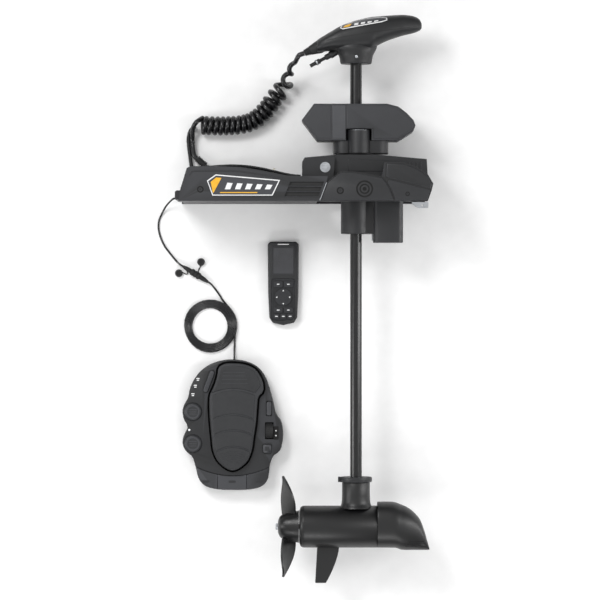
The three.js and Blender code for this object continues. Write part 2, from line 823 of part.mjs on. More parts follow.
function propeller() {
  const bladeOutline = [
    [-18, 20],
    [-25, 55],
    [-25, 90],
    [-18, PROP_R - 8],
    [-6, PROP_R - 1],
    [6, PROP_R - 2],
    [16, PROP_R - 12],
    [22, 90],
    [21, 55],
    [18, 20],
  ];
  const front = POD_AFT - RUN;
  const hub = podLathe(
    [
      [0, PROP_AFT],
      [14, PROP_AFT],
      [24, PROP_AFT + 4],
      [PROP_HUB_R - 9.5, PROP_AFT + 12],
      [PROP_HUB_R, front],
      [0, front],
    ],
    32,
  );
  let solid = hub;
  for (let i = 0; i < BLADE_COUNT; i++) {
    const blade = slab(bladeOutline, -BLADE_T / 2, BLADE_T / 2, 1)
      .rotateY(((90 - BLADE_PITCH) * Math.PI) / 180)
      .rotateX((2 * Math.PI * i) / BLADE_COUNT)
      .translate((PROP_AFT + front) / 2 - 2, POD_Y, BASE_HALF);
    solid = join(solid, blade);
  }
  const bore = podLathe(rodProfile(ROTOR_SHAFT_R + RUN, POD_AFT - 35, POD_AFT + 5), 24);
  part("propeller", cut(solid, bore), darkPlastic);
}

// ---- Foot pedal ----
// A closed smooth outline through [x, y] points.
function smoothOutline(points, steps) {
  const curve = new THREE.CatmullRomCurve3(
    points.map(([x, y]) => new THREE.Vector3(x, y, 0)),
    true,
    "centripetal",
  );
  return curve.getSpacedPoints(steps).slice(0, -1).map(({ x, y }) => [x, y]);
}

// An outline of two half circles about two points.
function capsule(x0, y0, x1, y1, radius, steps = 6) {
  const along = Math.atan2(y1 - y0, x1 - x0);
  const half = (x, y, start) =>
    Array.from({ length: steps + 1 }, (_, i) => {
      const angle = start + (Math.PI * i) / steps;
      return [x + radius * Math.cos(angle), y + radius * Math.sin(angle)];
    });
  return [...half(x1, y1, along - Math.PI / 2), ...half(x0, y0, along + Math.PI / 2)];
}

const pedalOutline = smoothOutline(
  [
    [-300, -386],
    [-329, -388],
    [-358, -397],
    [-382, -413],
    [-400, -436],
    [-410, -459],
    [-414, -480],
    [-425, -500],
    [-428, -516],
    [-424, -535],
    [-415, -552],
    [-424, -572],
    [-428, -592],
    [-420, -612],
    [-404, -626],
    [-396, -650],
    [-387, -683],
    [-372, -699],
    [-345, -707],
    [-300, -709],
    [-256, -707],
    [-230, -699],
    [-217, -683],
    [-211, -645],
    [-203, -625],
    [-187, -612],
    [-180, -588],
    [-179, -561],
    [-184, -538],
    [-196, -520],
    [-203, -490],
    [-213, -455],
    [-223, -428],
    [-241, -405],
    [-268, -391],
  ],
  96,
);
const treadleOutline = smoothOutline(
  [
    [-300, -395],
    [-325, -397],
    [-338, -406],
    [-341, -425],
    [-351, -455],
    [-359, -472],
    [-361, -500],
    [-359, -540],
    [-355, -580],
    [-351, -612],
    [-337, -640],
    [-304, -660],
    [-270, -640],
    [-257, -612],
    [-252, -580],
    [-246, -540],
    [-243, -500],
    [-240, -478],
    [-229, -466],
    [-228, -448],
    [-235, -428],
    [-248, -410],
    [-270, -399],
  ],
  72,
);
const rowEdge = { x: -303, half: 100, middle: -674, ends: -648 };
const rowSplits = [-400, -341, -269, -205];
const roundButtons = [
  ["upper", -402, -515],
  ["lower", -402, -594],
];
const wheelPlace = { x: -213, y: -562 };

const sideButtons = [
  ["momentary_button", capsule(-370.5, -461, -354.5, -419, 6)],
  ["anchor_button", roundedRect(-229, -208, -617, -596, 4)],
];
const rocker = { x0: -220, x1: -208, y: -507, half: 17 };

function pedal() {
  part("pedal_base", slab(inset(pedalOutline, 2), 0, PEDAL_PLATE_T, 0.8), softRubber);
  const low = PEDAL_PLATE_T + GAP;
  const well = slab(inset(treadleOutline, -TREADLE_GAP), low - 1, PEDAL_TOP + 1);
  const rowPocket = slab(rowOutline(-450, -150, BUTTON_GAP), BUTTON_POCKET, PEDAL_TOP + 1);
  const roundPocket = rodProfile(ROUND_BUTTON_R + BUTTON_GAP, BUTTON_POCKET, PEDAL_TOP + 1);
  const pockets = roundButtons.map(([, x, y]) => alongZ(revolve(roundPocket, 28)).translate(x, y, 0));
  for (const [, outline] of sideButtons) {
    pockets.push(slab(inset(outline, -BUTTON_GAP), BUTTON_POCKET, PEDAL_TOP + 1));
  }
  const wheelWell = block(
    wheelPlace.x - WHEEL_T / 2 - 1,
    wheelPlace.x + WHEEL_T / 2 + 1,
    wheelPlace.y - WHEEL_R - 2,
    wheelPlace.y + WHEEL_R + 2,
    WHEEL_Z - WHEEL_R - 2,
    PEDAL_TOP + 1,
  );
  const rockerWell = block(
    rocker.x0 - 1,
    rocker.x1 + 1,
    rocker.y - rocker.half - 1,
    rocker.y + rocker.half + 1,
    BUTTON_POCKET - 4,
    PEDAL_TOP + 1,
  );
  const shell = slab(pedalOutline, low, PEDAL_TOP, 3);
  part("pedal_housing", cut(shell, well, rowPocket, wheelWell, rockerWell, ...pockets), coverPlastic);
  part("pedal_treadle", slab(treadleOutline, TREADLE_LOW, TREADLE_TOP, 2), trimPlastic);
  for (const [name, x, y] of roundButtons) {
    const disc = [
      [0, BUTTON_LOW],
      [ROUND_BUTTON_R, BUTTON_LOW],
      [ROUND_BUTTON_R, BUTTON_TOP - 3],
      [ROUND_BUTTON_R - 4, BUTTON_TOP],
      [0, BUTTON_TOP],
    ];
    part("prop_button_" + name, alongZ(revolve(disc, 28)).translate(x, y, 0), trimPlastic);
  }
  for (const [name, outline] of sideButtons) {
    part(name, slab(outline, BUTTON_LOW, BUTTON_TOP, 1), trimPlastic);
  }
  const wheel = alongX(revolve(rodProfile(WHEEL_R, -WHEEL_T / 2, WHEEL_T / 2), 24));
  part("speed_wheel", wheel.translate(wheelPlace.x, wheelPlace.y, WHEEL_Z), softRubber);
  const rockerSolid = slab(
    roundedRect(rocker.x0, rocker.x1, rocker.y - rocker.half, rocker.y + rocker.half, 4),
    BUTTON_LOW,
    BUTTON_TOP,
    1,
  );
  part("mode_rocker", rockerSolid, trimPlastic);
  rowButtons();
}

// The band of the row from x0 to x1. Its upper edge sags around the end of the treadle.
function rowOutline(x0, x1, clearance = 0) {
  const top = Array.from({ length: 13 }, (_, i) => {
    const x = x1 + ((x0 - x1) * i) / 12;
    const share = (x - rowEdge.x) / rowEdge.half;
    return [x, rowEdge.middle + (rowEdge.ends - rowEdge.middle) * share ** 2 + clearance];
  });
  return [[x0, -720], [x1, -720], ...top];
}

function rowButtons() {
  const names = ["left", "middle", "right"];
  names.forEach((name, i) => {
    const outline = rowOutline(rowSplits[i] + BUTTON_GAP / 2, rowSplits[i + 1] - BUTTON_GAP / 2);
    const window = slab(outline, BUTTON_LOW, BUTTON_TOP);
    const skirt = slab(inset(pedalOutline, 1), BUTTON_LOW - 1, BUTTON_TOP - 2, 1);
    part("row_button_" + name, common(skirt, window), trimPlastic);
  });
}

// ---- Hand remote ----
function remote() {
  const x0 = -217;
  const x1 = -140;
  const middle = (x0 + x1) / 2;
  const outline = [
    [x0 + 6, -94],
    [x1 - 6, -94],
    [x1, -100],
    [x1 - 1, -220],
    [x1 - 4, -282],
    [x1 - 12, -295],
    [middle, -301],
    [x0 + 12, -295],
    [x0 + 4, -282],
    [x0 + 1, -220],
    [x0, -100],
  ];
  const keyArea = roundedRect(x0 + 10, x1 - 10, -288, -186, 8);
  const floorZ = REMOTE_T - KEYPAD_DEPTH;
  const pad = slab(keyArea, floorZ - GAP, REMOTE_T + 1);
  part("remote_case", cut(slab(outline, 0, REMOTE_T, 3), pad), coverPlastic);
  const keys = [];
  const keyTop = REMOTE_T + KEY_RISE;
  const rows = [
    [-207, -192, 2],
    [-270, -257, 2],
    [-285, -273, 3],
  ];
  for (const [y0, y1, count] of rows) {
    const width = (x1 - x0 - 26) / count;
    for (let i = 0; i < count; i++) {
      const left = x0 + 13 + i * width;
      keys.push(slab(roundedRect(left + 1.5, left + width - 1.5, y0, y1, 3), floorZ + 1, keyTop));
    }
  }
  keys.push(alongZ(revolve(rodProfile(21, floorZ + 1, keyTop), 24)).translate(middle, -231.5, 0));
  const mat = slab(inset(keyArea, GAP), floorZ, REMOTE_T - 1);
  part("remote_keypad", join(mat, ...keys), softRubber);
}

// ---- Cords ----
const bootTip = [
  headAft.x + (BOOT_LENGTH + GAP) * Math.cos(headAft.angle),
  headAft.y + (BOOT_LENGTH + GAP) * Math.sin(headAft.angle),
  BASE_HALF,
];
const coilZ = CURLY_COIL_R + CORD_LIFT;
const curlyLead = [
  bootTip,
  [bootTip[0] + 12 * Math.cos(headAft.angle), bootTip[1] + 12 * Math.sin(headAft.angle), BASE_HALF],
  [-152, 344, 110],
  [-163, 322, 80],
  [-170, 303, 48],
  [-176, 292, 31],
  [-181, 285.5, coilZ + 3],
];
const coilAxis = [
  [-184, 281.5, coilZ],
  [-203, 259, coilZ],
  [-215, 240, coilZ],
  [-229, 225, coilZ],
  [-240, 214, coilZ],
  [-255, 205, coilZ],
  [-270, 199, coilZ],
  [-298, 194.5, coilZ],
  [-340, 193, coilZ],
  [-386, 194.5, coilZ],
];
const curlyTail = [
  [-387.5, 194.5, coilZ + 3],
  [-396, 194, 26],
  [-403, 183, 20],
  [-404, 160, 15],
  [-403, 138, 15],
  [-398.9, 118.5, 15],
  [-392.9, 113.1, 15],
];
const deckCable = [
  [-371.5, 93.9, 15],
  [-367.4, 90.9, 15],
  [-358, 90.2, 16],
  [-337, 92, 18],
  [-291, 93, 18],
  [-244, 88, 18],
  [-206, 80, 18],
  [-162, 70, 18],
  [-135, 67.5, 18],
];
const pedalCordA = [
  [BASE_AFT - 10.4, 12, BASE_HALF - CORD_EXIT],
  [BASE_AFT - 20, 12, BASE_HALF - CORD_EXIT],
  [-468, -4, 18],
  [-481, -26, 4],
  [-488, -45, 3.2],
  [-488, -65, 3.2],
  [-483, -84, 3.2],
  [-473, -105, 3.2],
  [-458, -125, 3.2],
  [-443, -143, 5],
  [-435, -150, 8],
  [-427.5, -154.7, 8.6],
];
const pedalCordB = [
  [-364.7, -194.2, 8.6],
  [-358, -198.6, 8],
  [-347, -212, 3.5],
  [-336.5, -227, 3.2],
  [-326, -240.8, 3.2],
];
const pedalCordC = [
  [-299.4, -340.6, 3.2],
  [-299.4, -350, 3.2],
  [-300, -362, 5],
  [-300, -374, 9],
  [-300, -385.6, 11],
];
const coilCentre = [-360, -303];
const COIL_OUTER = 68;
const COIL_INNER = 42.6;
const COIL_H = 10;

function headCord() {
  part("curly_cord_lead", cordTube(curlyLead, CURLY_R, 10, 18), cordRubber);
  part("curly_cord_coil", cordTube(coilAxis, CURLY_COIL_R, 12, 20), cordRubber);
  part("curly_cord_tail", cordTube(curlyTail, CURLY_R, 10, 14), cordRubber);
  const start = [-392.4, 112.7, 15];
  const end = [-372, 94.4, 15];
  part("cord_relief", cordTube([start, end], CURLY_R + 2.6, 12, 2), softRubber);
  part("deck_cable", cordTube(deckCable, DECK_CABLE_R, 8, 22), cordRubber);
}

function pedalCord() {
  part("pedal_cord_a", cordTube(pedalCordA, PEDAL_CORD_R, 8, 36), cordRubber);
  part("pedal_cord_b", cordTube(pedalCordB, PEDAL_CORD_R, 8, 10), cordRubber);
  part("pedal_cord_c", cordTube(pedalCordC, PEDAL_CORD_R, 8, 10), cordRubber);
  const connector = revolve(
    [
      [0, 0],
      [3.4, 0],
      [5.6, 14],
      [5.6, 22],
      [8.4, 25],
      [8.4, 47],
      [5.6, 50],
      [5.6, 60],
      [3.4, 73],
      [0, 73],
    ],
    16,
  );
  const angle = Math.atan2(-39, 62);
  connector.rotateZ(angle - Math.PI / 2).translate(-427, -155, 8.6);
  part("cord_connector", connector, softRubber);
  for (const [name, x, y] of [
    ["aft", -438, -172],
    ["bow", -383, -144],
  ]) {
    const cap = [
      [0, CORD_LIFT],
      [9.3, CORD_LIFT],
      [9.3, 9],
      [7.4, 12],
      [0, 12],
    ];
    part("connector_cap_" + name, alongZ(revolve(cap, 18)).translate(x, y, 0), softRubber);
  }
  const ring = alongZ(revolve(ringProfile(COIL_INNER, COIL_OUTER, CORD_LIFT, COIL_H + CORD_LIFT), 40));
  part("pedal_cord_coil", ring.translate(coilCentre[0], coilCentre[1], 0), cordRubber);
}

deckFrame();
baseCovers();
aftEndCap();
bowBracket();
tiltBolt();
carriage();
steeringHousing();
steeringDrive();
turnCollar();
trimModule();
shaft();
controlHead();
headCordFittings();
motorPod();
noseCasting();
podFittings();
propeller();
pedal();
remote();
headCord();
pedalCord();

// The origin is the middle of the footprint, cords left out.
const CORD_NODES = /cord|cable|connector/;
const footprint = new THREE.Box3();
for (const mesh of root.children) {
  mesh.geometry.computeBoundingBox();
  if (!CORD_NODES.test(mesh.name)) footprint.union(mesh.geometry.boundingBox);
}
const middle = footprint.getCenter(new THREE.Vector3());
for (const mesh of root.children) mesh.position.set(-middle.x, -middle.y, 0);

export default root;
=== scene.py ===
import math

import bmesh
import bpy
from mathutils import Matrix, Vector


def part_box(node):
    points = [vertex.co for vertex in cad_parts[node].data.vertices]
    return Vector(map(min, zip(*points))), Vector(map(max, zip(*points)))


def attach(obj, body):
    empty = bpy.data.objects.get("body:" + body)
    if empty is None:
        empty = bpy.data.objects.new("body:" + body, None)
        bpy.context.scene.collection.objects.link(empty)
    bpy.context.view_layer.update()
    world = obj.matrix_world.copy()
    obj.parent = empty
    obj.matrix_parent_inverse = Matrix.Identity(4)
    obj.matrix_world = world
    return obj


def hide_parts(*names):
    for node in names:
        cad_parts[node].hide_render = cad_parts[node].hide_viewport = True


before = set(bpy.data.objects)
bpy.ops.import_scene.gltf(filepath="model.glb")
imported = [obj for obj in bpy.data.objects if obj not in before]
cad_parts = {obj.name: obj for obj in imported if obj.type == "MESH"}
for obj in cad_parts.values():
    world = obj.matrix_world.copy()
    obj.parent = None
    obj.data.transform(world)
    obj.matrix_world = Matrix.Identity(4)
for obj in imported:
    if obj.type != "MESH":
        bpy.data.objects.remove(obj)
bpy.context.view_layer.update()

# ---- Places, all from the frame ----
MM = 0.001
SHAFT_LOW, SHAFT_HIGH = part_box("shaft_tube")
AXIS_X = (SHAFT_LOW.x + SHAFT_HIGH.x) / 2
AXIS_Z = (SHAFT_LOW.z + SHAFT_HIGH.z) / 2
DECK_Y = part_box("deck_frame")[0].y
COVER_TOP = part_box("side_cover_near")[1].z
POD_LOW, POD_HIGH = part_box("motor_shell")
POD_Y = (POD_LOW.y + POD_HIGH.y) / 2
MID = AXIS_Z / MM  # the shaft's height above the floor, in millimetres
TOP = COVER_TOP / MM  # the near cover's face above the floor, in millimetres
POD_CENTRE = Vector((AXIS_X, POD_Y, AXIS_Z))
TO_BOW = (1, 0, 0)
TO_HEAD = (0, 1, 0)
UP = (0, 0, 1)


def at(x, y, z):
    """A point in metres: x from the shaft's axis, y from the deck face and z from the floor, in mm."""
    return Vector((AXIS_X + x * MM, DECK_Y + y * MM, z * MM))


# ---- Camera, light and floor ----
def make_camera():
    """A long lens straight above the set, that takes in a square 1.47 m wide."""
    data = bpy.data.cameras.new("camera")
    camera = bpy.data.objects.new("camera", data)
    bpy.context.collection.objects.link(camera)
    distance = 8.0
    view_width = 1.47
    data.sensor_width = 36
    data.lens = data.sensor_width * distance / view_width
    data.clip_end = 50
    camera.location = at(-137, -238.5, 120) + Vector((0, 0, distance))
    bpy.context.scene.camera = camera


def soft_light(name, place, aim, size, power):
    """A rectangular soft box at a place, turned to its aim."""
    data = bpy.data.lights.new(name, "AREA")
    data.shape = "RECTANGLE"
    data.size, data.size_y = size
    data.energy = power
    light = bpy.data.objects.new(name, data)
    bpy.context.collection.objects.link(light)
    light.location = place
    light.rotation_euler = (Vector(aim) - Vector(place)).to_track_quat("-Z", "Y").to_euler()


def make_light():
    """A dome, bright overhead and dark at the horizon so that edges turn dark, and four soft boxes."""
    world = bpy.data.worlds.new("studio")
    world.use_nodes = True
    tree = world.node_tree
    tree.nodes.clear()
    direction = add(tree, "ShaderNodeTexCoord").outputs["Generated"]
    height = add(tree, "ShaderNodeSeparateXYZ", {"Vector": direction}).outputs["Z"]
    bright = add(tree, "ShaderNodeMapRange", {"Value": height, "From Min": 0.15, "From Max": 0.95,
                                              "To Min": 0.12, "To Max": 0.8})
    shade = add(tree, "ShaderNodeBackground", {"Color": (1, 1, 1, 1), "Strength": bright.outputs["Result"]})
    add(tree, "ShaderNodeOutputWorld", {"Surface": shade.outputs["Background"]})
    bpy.context.scene.world = world
    bpy.context.scene.view_settings.view_transform = "Standard"
    soft_light("key", (-1.3, 1.5, 2.4), (0, -0.1, 0), (1.0, 1.0), 42)
    soft_light("side", (2.2, 0.0, 1.2), (0.1, -0.1, 0), (0.35, 2.0), 26)
    soft_light("rim", (-2.2, -0.4, 1.2), (-0.1, -0.2, 0), (0.35, 1.6), 16)
    soft_light("foot", (-0.2, -2.2, 1.6), (0, -0.2, 0), (1.8, 0.5), 18)


def linear(code):
    """A hex sRGB colour as linear RGBA."""
    parts = [int(code[i:i + 2], 16) / 255 for i in (0, 2, 4)]
    return tuple(c / 12.92 if c <= 0.04045 else ((c + 0.055) / 1.055) ** 2.4 for c in parts) + (1.0,)


# ---- Materials ----
def add(tree, kind, inputs=None, **settings):
    """Adds a node: settings are its own, inputs are values or the sockets that feed it."""
    node = tree.nodes.new(kind)
    for key, value in settings.items():
        setattr(node, key, value)
    for key, value in (inputs or {}).items():
        if isinstance(value, bpy.types.NodeSocket):
            tree.links.new(value, node.inputs[key])
        else:
            node.inputs[key].default_value = value
    return node


def start_material(name, **inputs):
    """A material with one shader, and the place that its textures read: the object's own coordinates."""
    material = bpy.data.materials.new(name)
    material.use_nodes = True
    tree = material.node_tree
    tree.nodes.clear()
    shader = add(tree, "ShaderNodeBsdfPrincipled", inputs)
    add(tree, "ShaderNodeOutputMaterial", {"Surface": shader.outputs["BSDF"]})
    place = add(tree, "ShaderNodeTexCoord").outputs["Object"]
    return material, tree, shader, place


def per_mm(size):
    """A texture scale whose features are about this many millimetres."""
    return 1 / (size * MM)


def noise(tree, place, size_mm, detail):
    """Noise between 0 and 1 whose features are about this many millimetres."""
    inputs = {"Vector": place, "Scale": per_mm(size_mm), "Detail": detail}
    return add(tree, "ShaderNodeTexNoise", inputs).outputs["Fac"]


def stretched(tree, place, scale):
    """The place with its axes scaled, so that a texture is drawn out along the smallest."""
    return add(tree, "ShaderNodeMapping", {"Vector": place, "Scale": scale}).outputs["Vector"]


def blend_colour(tree, factor, dark, light):
    """A colour that runs from dark to light with the factor."""
    ramp = add(tree, "ShaderNodeValToRGB", {"Fac": factor})
    ramp.color_ramp.elements[0].position = 0.3
    ramp.color_ramp.elements[1].position = 0.75
    ramp.color_ramp.elements[0].color = linear(dark)
    ramp.color_ramp.elements[1].color = linear(light)
    return ramp.outputs["Color"]


def set_tone(tree, shader, factor, dark, light):
    """The base colour follows the factor."""
    tree.links.new(blend_colour(tree, factor, dark, light), shader.inputs["Base Color"])


def set_gloss(tree, shader, factor, smooth, rough, span=(0.0, 1.0)):
    """The roughness runs from smooth to rough while the factor crosses the span."""
    gloss = add(tree, "ShaderNodeMapRange", {"Value": factor, "From Min": span[0], "From Max": span[1],
                                             "To Min": smooth, "To Max": rough})
    tree.links.new(gloss.outputs["Result"], shader.inputs["Roughness"])


def set_relief(tree, shader, height, strength, depth):
    """A fine relief of the depth in metres."""
    relief = add(tree, "ShaderNodeBump", {"Height": height, "Strength": strength, "Distance": depth})
    tree.links.new(relief.outputs["Normal"], shader.inputs["Normal"])


def worn_and_highlit_polymer(name, dark, light, edge_wear_and_highlight, rough, grain_mm, depth, ior=1.5):
    """A moulded surface: a spark-eroded grain in the relief, cloudy tone, and convex edges painted lighter,
    partly as wear and partly as a painted highlight that outlines them.
    """
    material, tree, shader, place = start_material(name, IOR=ior)
    tone = blend_colour(tree, noise(tree, place, 45, 5.0), dark, light)
    shape = add(tree, "ShaderNodeNewGeometry")
    # Convex edges mix towards the lighter colour: partly wear, partly a painted highlight that outlines the
    # black plastic.
    edge = add(tree, "ShaderNodeMapRange", {"Value": shape.outputs["Pointiness"], "From Min": 0.505,
                                            "From Max": 0.56, "To Max": 0.75})
    mixed = add(tree, "ShaderNodeMixRGB", {"Fac": edge.outputs["Result"], "Color1": tone,
                                           "Color2": linear(edge_wear_and_highlight)})
    tree.links.new(mixed.outputs["Color"], shader.inputs["Base Color"])
    set_gloss(tree, shader, noise(tree, place, 14, 6.0), rough - 0.07, rough + 0.08, (0.25, 0.75))
    set_relief(tree, shader, noise(tree, place, grain_mm, 3.0), depth, 0.0004)
    return material


def make_materials():
    """Every finish by a short name."""
    made = {}
    # The mould's grain is about 0.3 mm; it is drawn at 1.5 mm so that it shows.
    made["cover"] = worn_and_highlit_polymer("textured_abs", "0b0c0d", "121315", "2f3034", 0.46, 1.5, 0.6)
    made["nylon"] = worn_and_highlit_polymer("glass_filled_nylon", "0a0a0c", "111214", "26272a", 0.42, 2.2, 0.5)
    made["charcoal"] = worn_and_highlit_polymer("charcoal_abs", "191a1c", "222326", "3e3f43", 0.46, 1.5, 0.6)
    # A lighter tone for the band between the case's facets: a painted highlight where the facet catches the
    # light.
    made["trim"] = worn_and_highlit_polymer("facet_highlight_abs", "2b2c2f", "37383b", "505155", 0.42, 1.5, 0.4)
    made["prop"] = worn_and_highlit_polymer("polycarbonate_blend", "060607", "0b0b0c", "1a1a1c", 0.34, 3.0, 0.25)
    made["treadle"] = worn_and_highlit_polymer("grained_elastomer", "151618", "1c1d1f", "303134", 0.6, 1.8, 0.9)
    made["rubber"] = worn_and_highlit_polymer("nitrile_rubber", "070708", "0d0d0e", "1c1c1d", 0.62, 1.2, 0.5)
    # Matt black that paints the shade in recesses, slits and the wheel's window, and gives the badge its own
    # black.
    made["shade_and_badge_black"] = worn_and_highlit_polymer("painted_shade_and_badge_black", "020202", "050505", "0a0a0a", 0.85, 1.2, 0.3)
    made["silicone"] = worn_and_highlit_polymer("silicone", "17181a", "1e1f22", "2e2f32", 0.55, 1.0, 0.3, 1.41)
    made["jacket"] = worn_and_highlit_polymer("polyurethane_jacket", "060607", "0b0b0c", "1e1e20", 0.24, 2.5, 0.12)
    made["casting"] = painted_casting()
    made["shaft"] = pultruded_composite()
    made["steel"] = brushed_stainless()
    made["deck"] = powder_coat()
    made["label"] = label_mesh()
    made["white"] = printed_ink("white_ink", "d9dadb", "e6e6e6")
    made["yellow"] = printed_ink("amber_ink", "d9a01c", "e8b12c")
    made["glass"] = display_glass()
    made["lamp"] = printed_ink("lamp_lens", "eef1f4", "ffffff")
    made["gear"] = worn_and_highlit_polymer("natural_nylon", "cfcabb", "dcd8ca", "e8e5da", 0.45, 2.0, 0.3)
    made["copper"] = enamelled_copper()
    made["ferrite"] = worn_and_highlit_polymer("ferrite", "303033", "3c3c40", "55555a", 0.6, 1.2, 0.6)
    made["board"] = worn_and_highlit_polymer("glass_epoxy", "15502c", "1d6638", "2f7d4b", 0.4, 1.0, 0.2)
    made["paper"] = white_paper()
    return made


def painted_casting():
    """Die-cast aluminium under satin black paint: a low orange peel and a faint clear gloss."""
    material, tree, shader, place = start_material("painted_die_casting", IOR=1.5)
    shader.inputs["Coat Weight"].default_value = 0.1
    shader.inputs["Coat Roughness"].default_value = 0.3
    set_tone(tree, shader, noise(tree, place, 60, 4.0), "060607", "0c0d0e")
    set_gloss(tree, shader, noise(tree, place, 9, 8.0), 0.36, 0.5)
    set_relief(tree, shader, noise(tree, place, 3.5, 1.0), 0.25, 0.0003)
    return material


def pultruded_composite():
    """Glass fibre pulled through a die: fine streaks run along the shaft under a smooth resin skin."""
    material, tree, shader, place = start_material("pultruded_composite", IOR=1.52)
    fibre = noise(tree, stretched(tree, place, (1.0, 0.02, 1.0)), 2, 4.0)
    set_tone(tree, shader, fibre, "050506", "0c0c0d")
    set_gloss(tree, shader, fibre, 0.2, 0.36)
    set_relief(tree, shader, fibre, 0.2, 0.0002)
    return material


def brushed_stainless():
    """Stainless steel with the fine lines of a belt, drawn at 1 mm so that they show."""
    material, tree, shader, place = start_material("brushed_stainless", Metallic=1.0)
    shader.inputs["Anisotropic"].default_value = 0.4
    line = noise(tree, stretched(tree, place, (0.05, 1.0, 1.0)), 1, 3.0)
    set_tone(tree, shader, line, "a9acb0", "c9ccd0")
    set_gloss(tree, shader, line, 0.22, 0.4)
    set_relief(tree, shader, line, 0.2, 0.0001)
    return material


def powder_coat():
    """Black powder baked on an aluminium extrusion: an even, slightly leathery orange peel."""
    material, tree, shader, place = start_material("powder_coated_aluminium", IOR=1.5)
    peel = add(tree, "ShaderNodeTexVoronoi", {"Vector": place, "Scale": per_mm(2.2)}, feature="SMOOTH_F1")
    set_tone(tree, shader, noise(tree, place, 50, 3.0), "17181a", "202124")
    set_gloss(tree, shader, peel.outputs["Distance"], 0.4, 0.6)
    set_relief(tree, shader, peel.outputs["Distance"], 0.35, 0.0003)
    return material


def label_mesh():
    """A polyester label printed with a fine dark honeycomb."""
    material, tree, shader, place = start_material("printed_label", IOR=1.5)
    cells = add(tree, "ShaderNodeTexVoronoi", {"Vector": place, "Scale": per_mm(5), "Randomness": 0.0},
                feature="DISTANCE_TO_EDGE", voronoi_dimensions="2D")
    set_tone(tree, shader, cells.outputs["Distance"], "3b3c40", "101113")
    set_gloss(tree, shader, cells.outputs["Distance"], 0.28, 0.4)
    return material


def printed_ink(name, dark, light):
    """Screen-printed ink: slightly uneven in tone, satin."""
    material, tree, shader, place = start_material(name, IOR=1.5)
    cloud = noise(tree, place, 6, 5.0)
    set_tone(tree, shader, cloud, dark, light)
    set_gloss(tree, shader, cloud, 0.3, 0.5)
    return material


def display_glass():
    """A liquid-crystal display behind its window: deep grey, with a smear or two in the gloss."""
    material, tree, shader, place = start_material("display_window", IOR=1.52)
    shader.inputs["Coat Weight"].default_value = 0.6
    smear = noise(tree, place, 25, 6.0)
    set_tone(tree, shader, smear, "26272b", "303136")
    set_gloss(tree, shader, smear, 0.08, 0.24)
    return material


def enamelled_copper():
    """Windings of enamelled wire round the armature."""
    material, tree, shader, place = start_material("enamelled_copper", Metallic=0.8)
    wire = add(tree, "ShaderNodeTexWave", {"Vector": place, "Scale": per_mm(7), "Distortion": 0.6})
    shader.inputs["Roughness"].default_value = 0.35
    set_tone(tree, shader, wire.outputs["Fac"], "6b3a1f", "b06a3a")
    set_relief(tree, shader, wire.outputs["Fac"], 0.5, 0.0005)
    return material


def white_paper():
    """The floor's paper, with a very faint fleck."""
    material, tree, shader, place = start_material("paper_floor", Roughness=0.8)
    set_tone(tree, shader, noise(tree, place, 40, 6.0), "f1f1f1", "f6f6f6")
    return material


# Every finish of the object and of its floor, by the short name that the pieces use.
FINISHES = make_materials()


def make_floor():
    """White paper, 12 m wide."""
    bm = bmesh.new()
    bmesh.ops.create_grid(bm, x_segments=1, y_segments=1, size=6)
    shown("floor", bm, "paper")


# ---- Mesh helpers ----
def shown(name, bm, finish, smooth=40):
    """Makes the bmesh an object in the named finish, smooth except across edges sharper than the angle."""
    mesh = bpy.data.meshes.new(name)
    bm.to_mesh(mesh)
    bm.free()
    piece = bpy.data.objects.new(name, mesh)
    bpy.context.collection.objects.link(piece)
    mesh.materials.append(FINISHES[finish])
    mesh.shade_smooth()
    mesh.set_sharp_from_angle(angle=math.radians(smooth))
    return piece


def give(piece, body, slot, *nodes):
    """Rides the piece on its body and hides the nodes that it stands for; the slot is not used."""
    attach(piece, body)
    if nodes:
        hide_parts(*nodes)
    return piece


def even_shading(piece):
    """Flat faces shade flat beside the rounded edges."""
    normals = piece.modifiers.new("even", "WEIGHTED_NORMAL")
    normals.keep_sharp = True
    return piece


def rounded(piece, width, segments=3, angle=32):
    """Rounds the piece's sharp edges by a width in millimetres."""
    bevel = piece.modifiers.new("edges", "BEVEL")
    bevel.width = width * MM
    bevel.segments = segments
    bevel.limit_method = "ANGLE"
    bevel.angle_limit = math.radians(angle)
    bevel.use_clamp_overlap = True
    bevel.harden_normals = True
    return piece


def refine(node, finish, width, body, slot, segments=3):
    """A CAD node's shape with its triangles joined to flat faces and its edges rounded."""
    bm = bmesh.new()
    bm.from_mesh(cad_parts[node].data)
    bmesh.ops.remove_doubles(bm, verts=bm.verts, dist=0.02 * MM)
    bmesh.ops.dissolve_limit(bm, angle_limit=math.radians(0.6), verts=bm.verts, edges=bm.edges)
    piece = rounded(shown(node + "_shell", bm, finish), width, segments)
    return give(piece, body, slot, node)


def plate(name, outline, z0, z1, finish, width=0.6, segments=2):
    """An outline of x, y corners in mm, extruded between two heights, with its upper edge rounded."""
    bm = bmesh.new()
    face = bm.faces.new([bm.verts.new(at(x, y, z0)) for x, y in outline])
    bm.normal_update()
    if face.normal.z > 0:
        bmesh.ops.reverse_faces(bm, faces=[face])
    grown = bmesh.ops.extrude_face_region(bm, geom=[face], use_keep_orig=True)
    top = [v for v in grown["geom"] if isinstance(v, bmesh.types.BMVert)]
    bmesh.ops.translate(bm, verts=top, vec=(0, 0, (z1 - z0) * MM))
    bmesh.ops.recalc_face_normals(bm, faces=bm.faces)
    rim = [e for e in bm.edges if all(v in top for v in e.verts) and len(e.link_faces) == 2]
    bmesh.ops.bevel(bm, geom=rim, offset=width * MM, segments=segments, profile=0.5, affect="EDGES",
                    clamp_overlap=True, material=-1)
    return even_shading(shown(name, bm, finish))


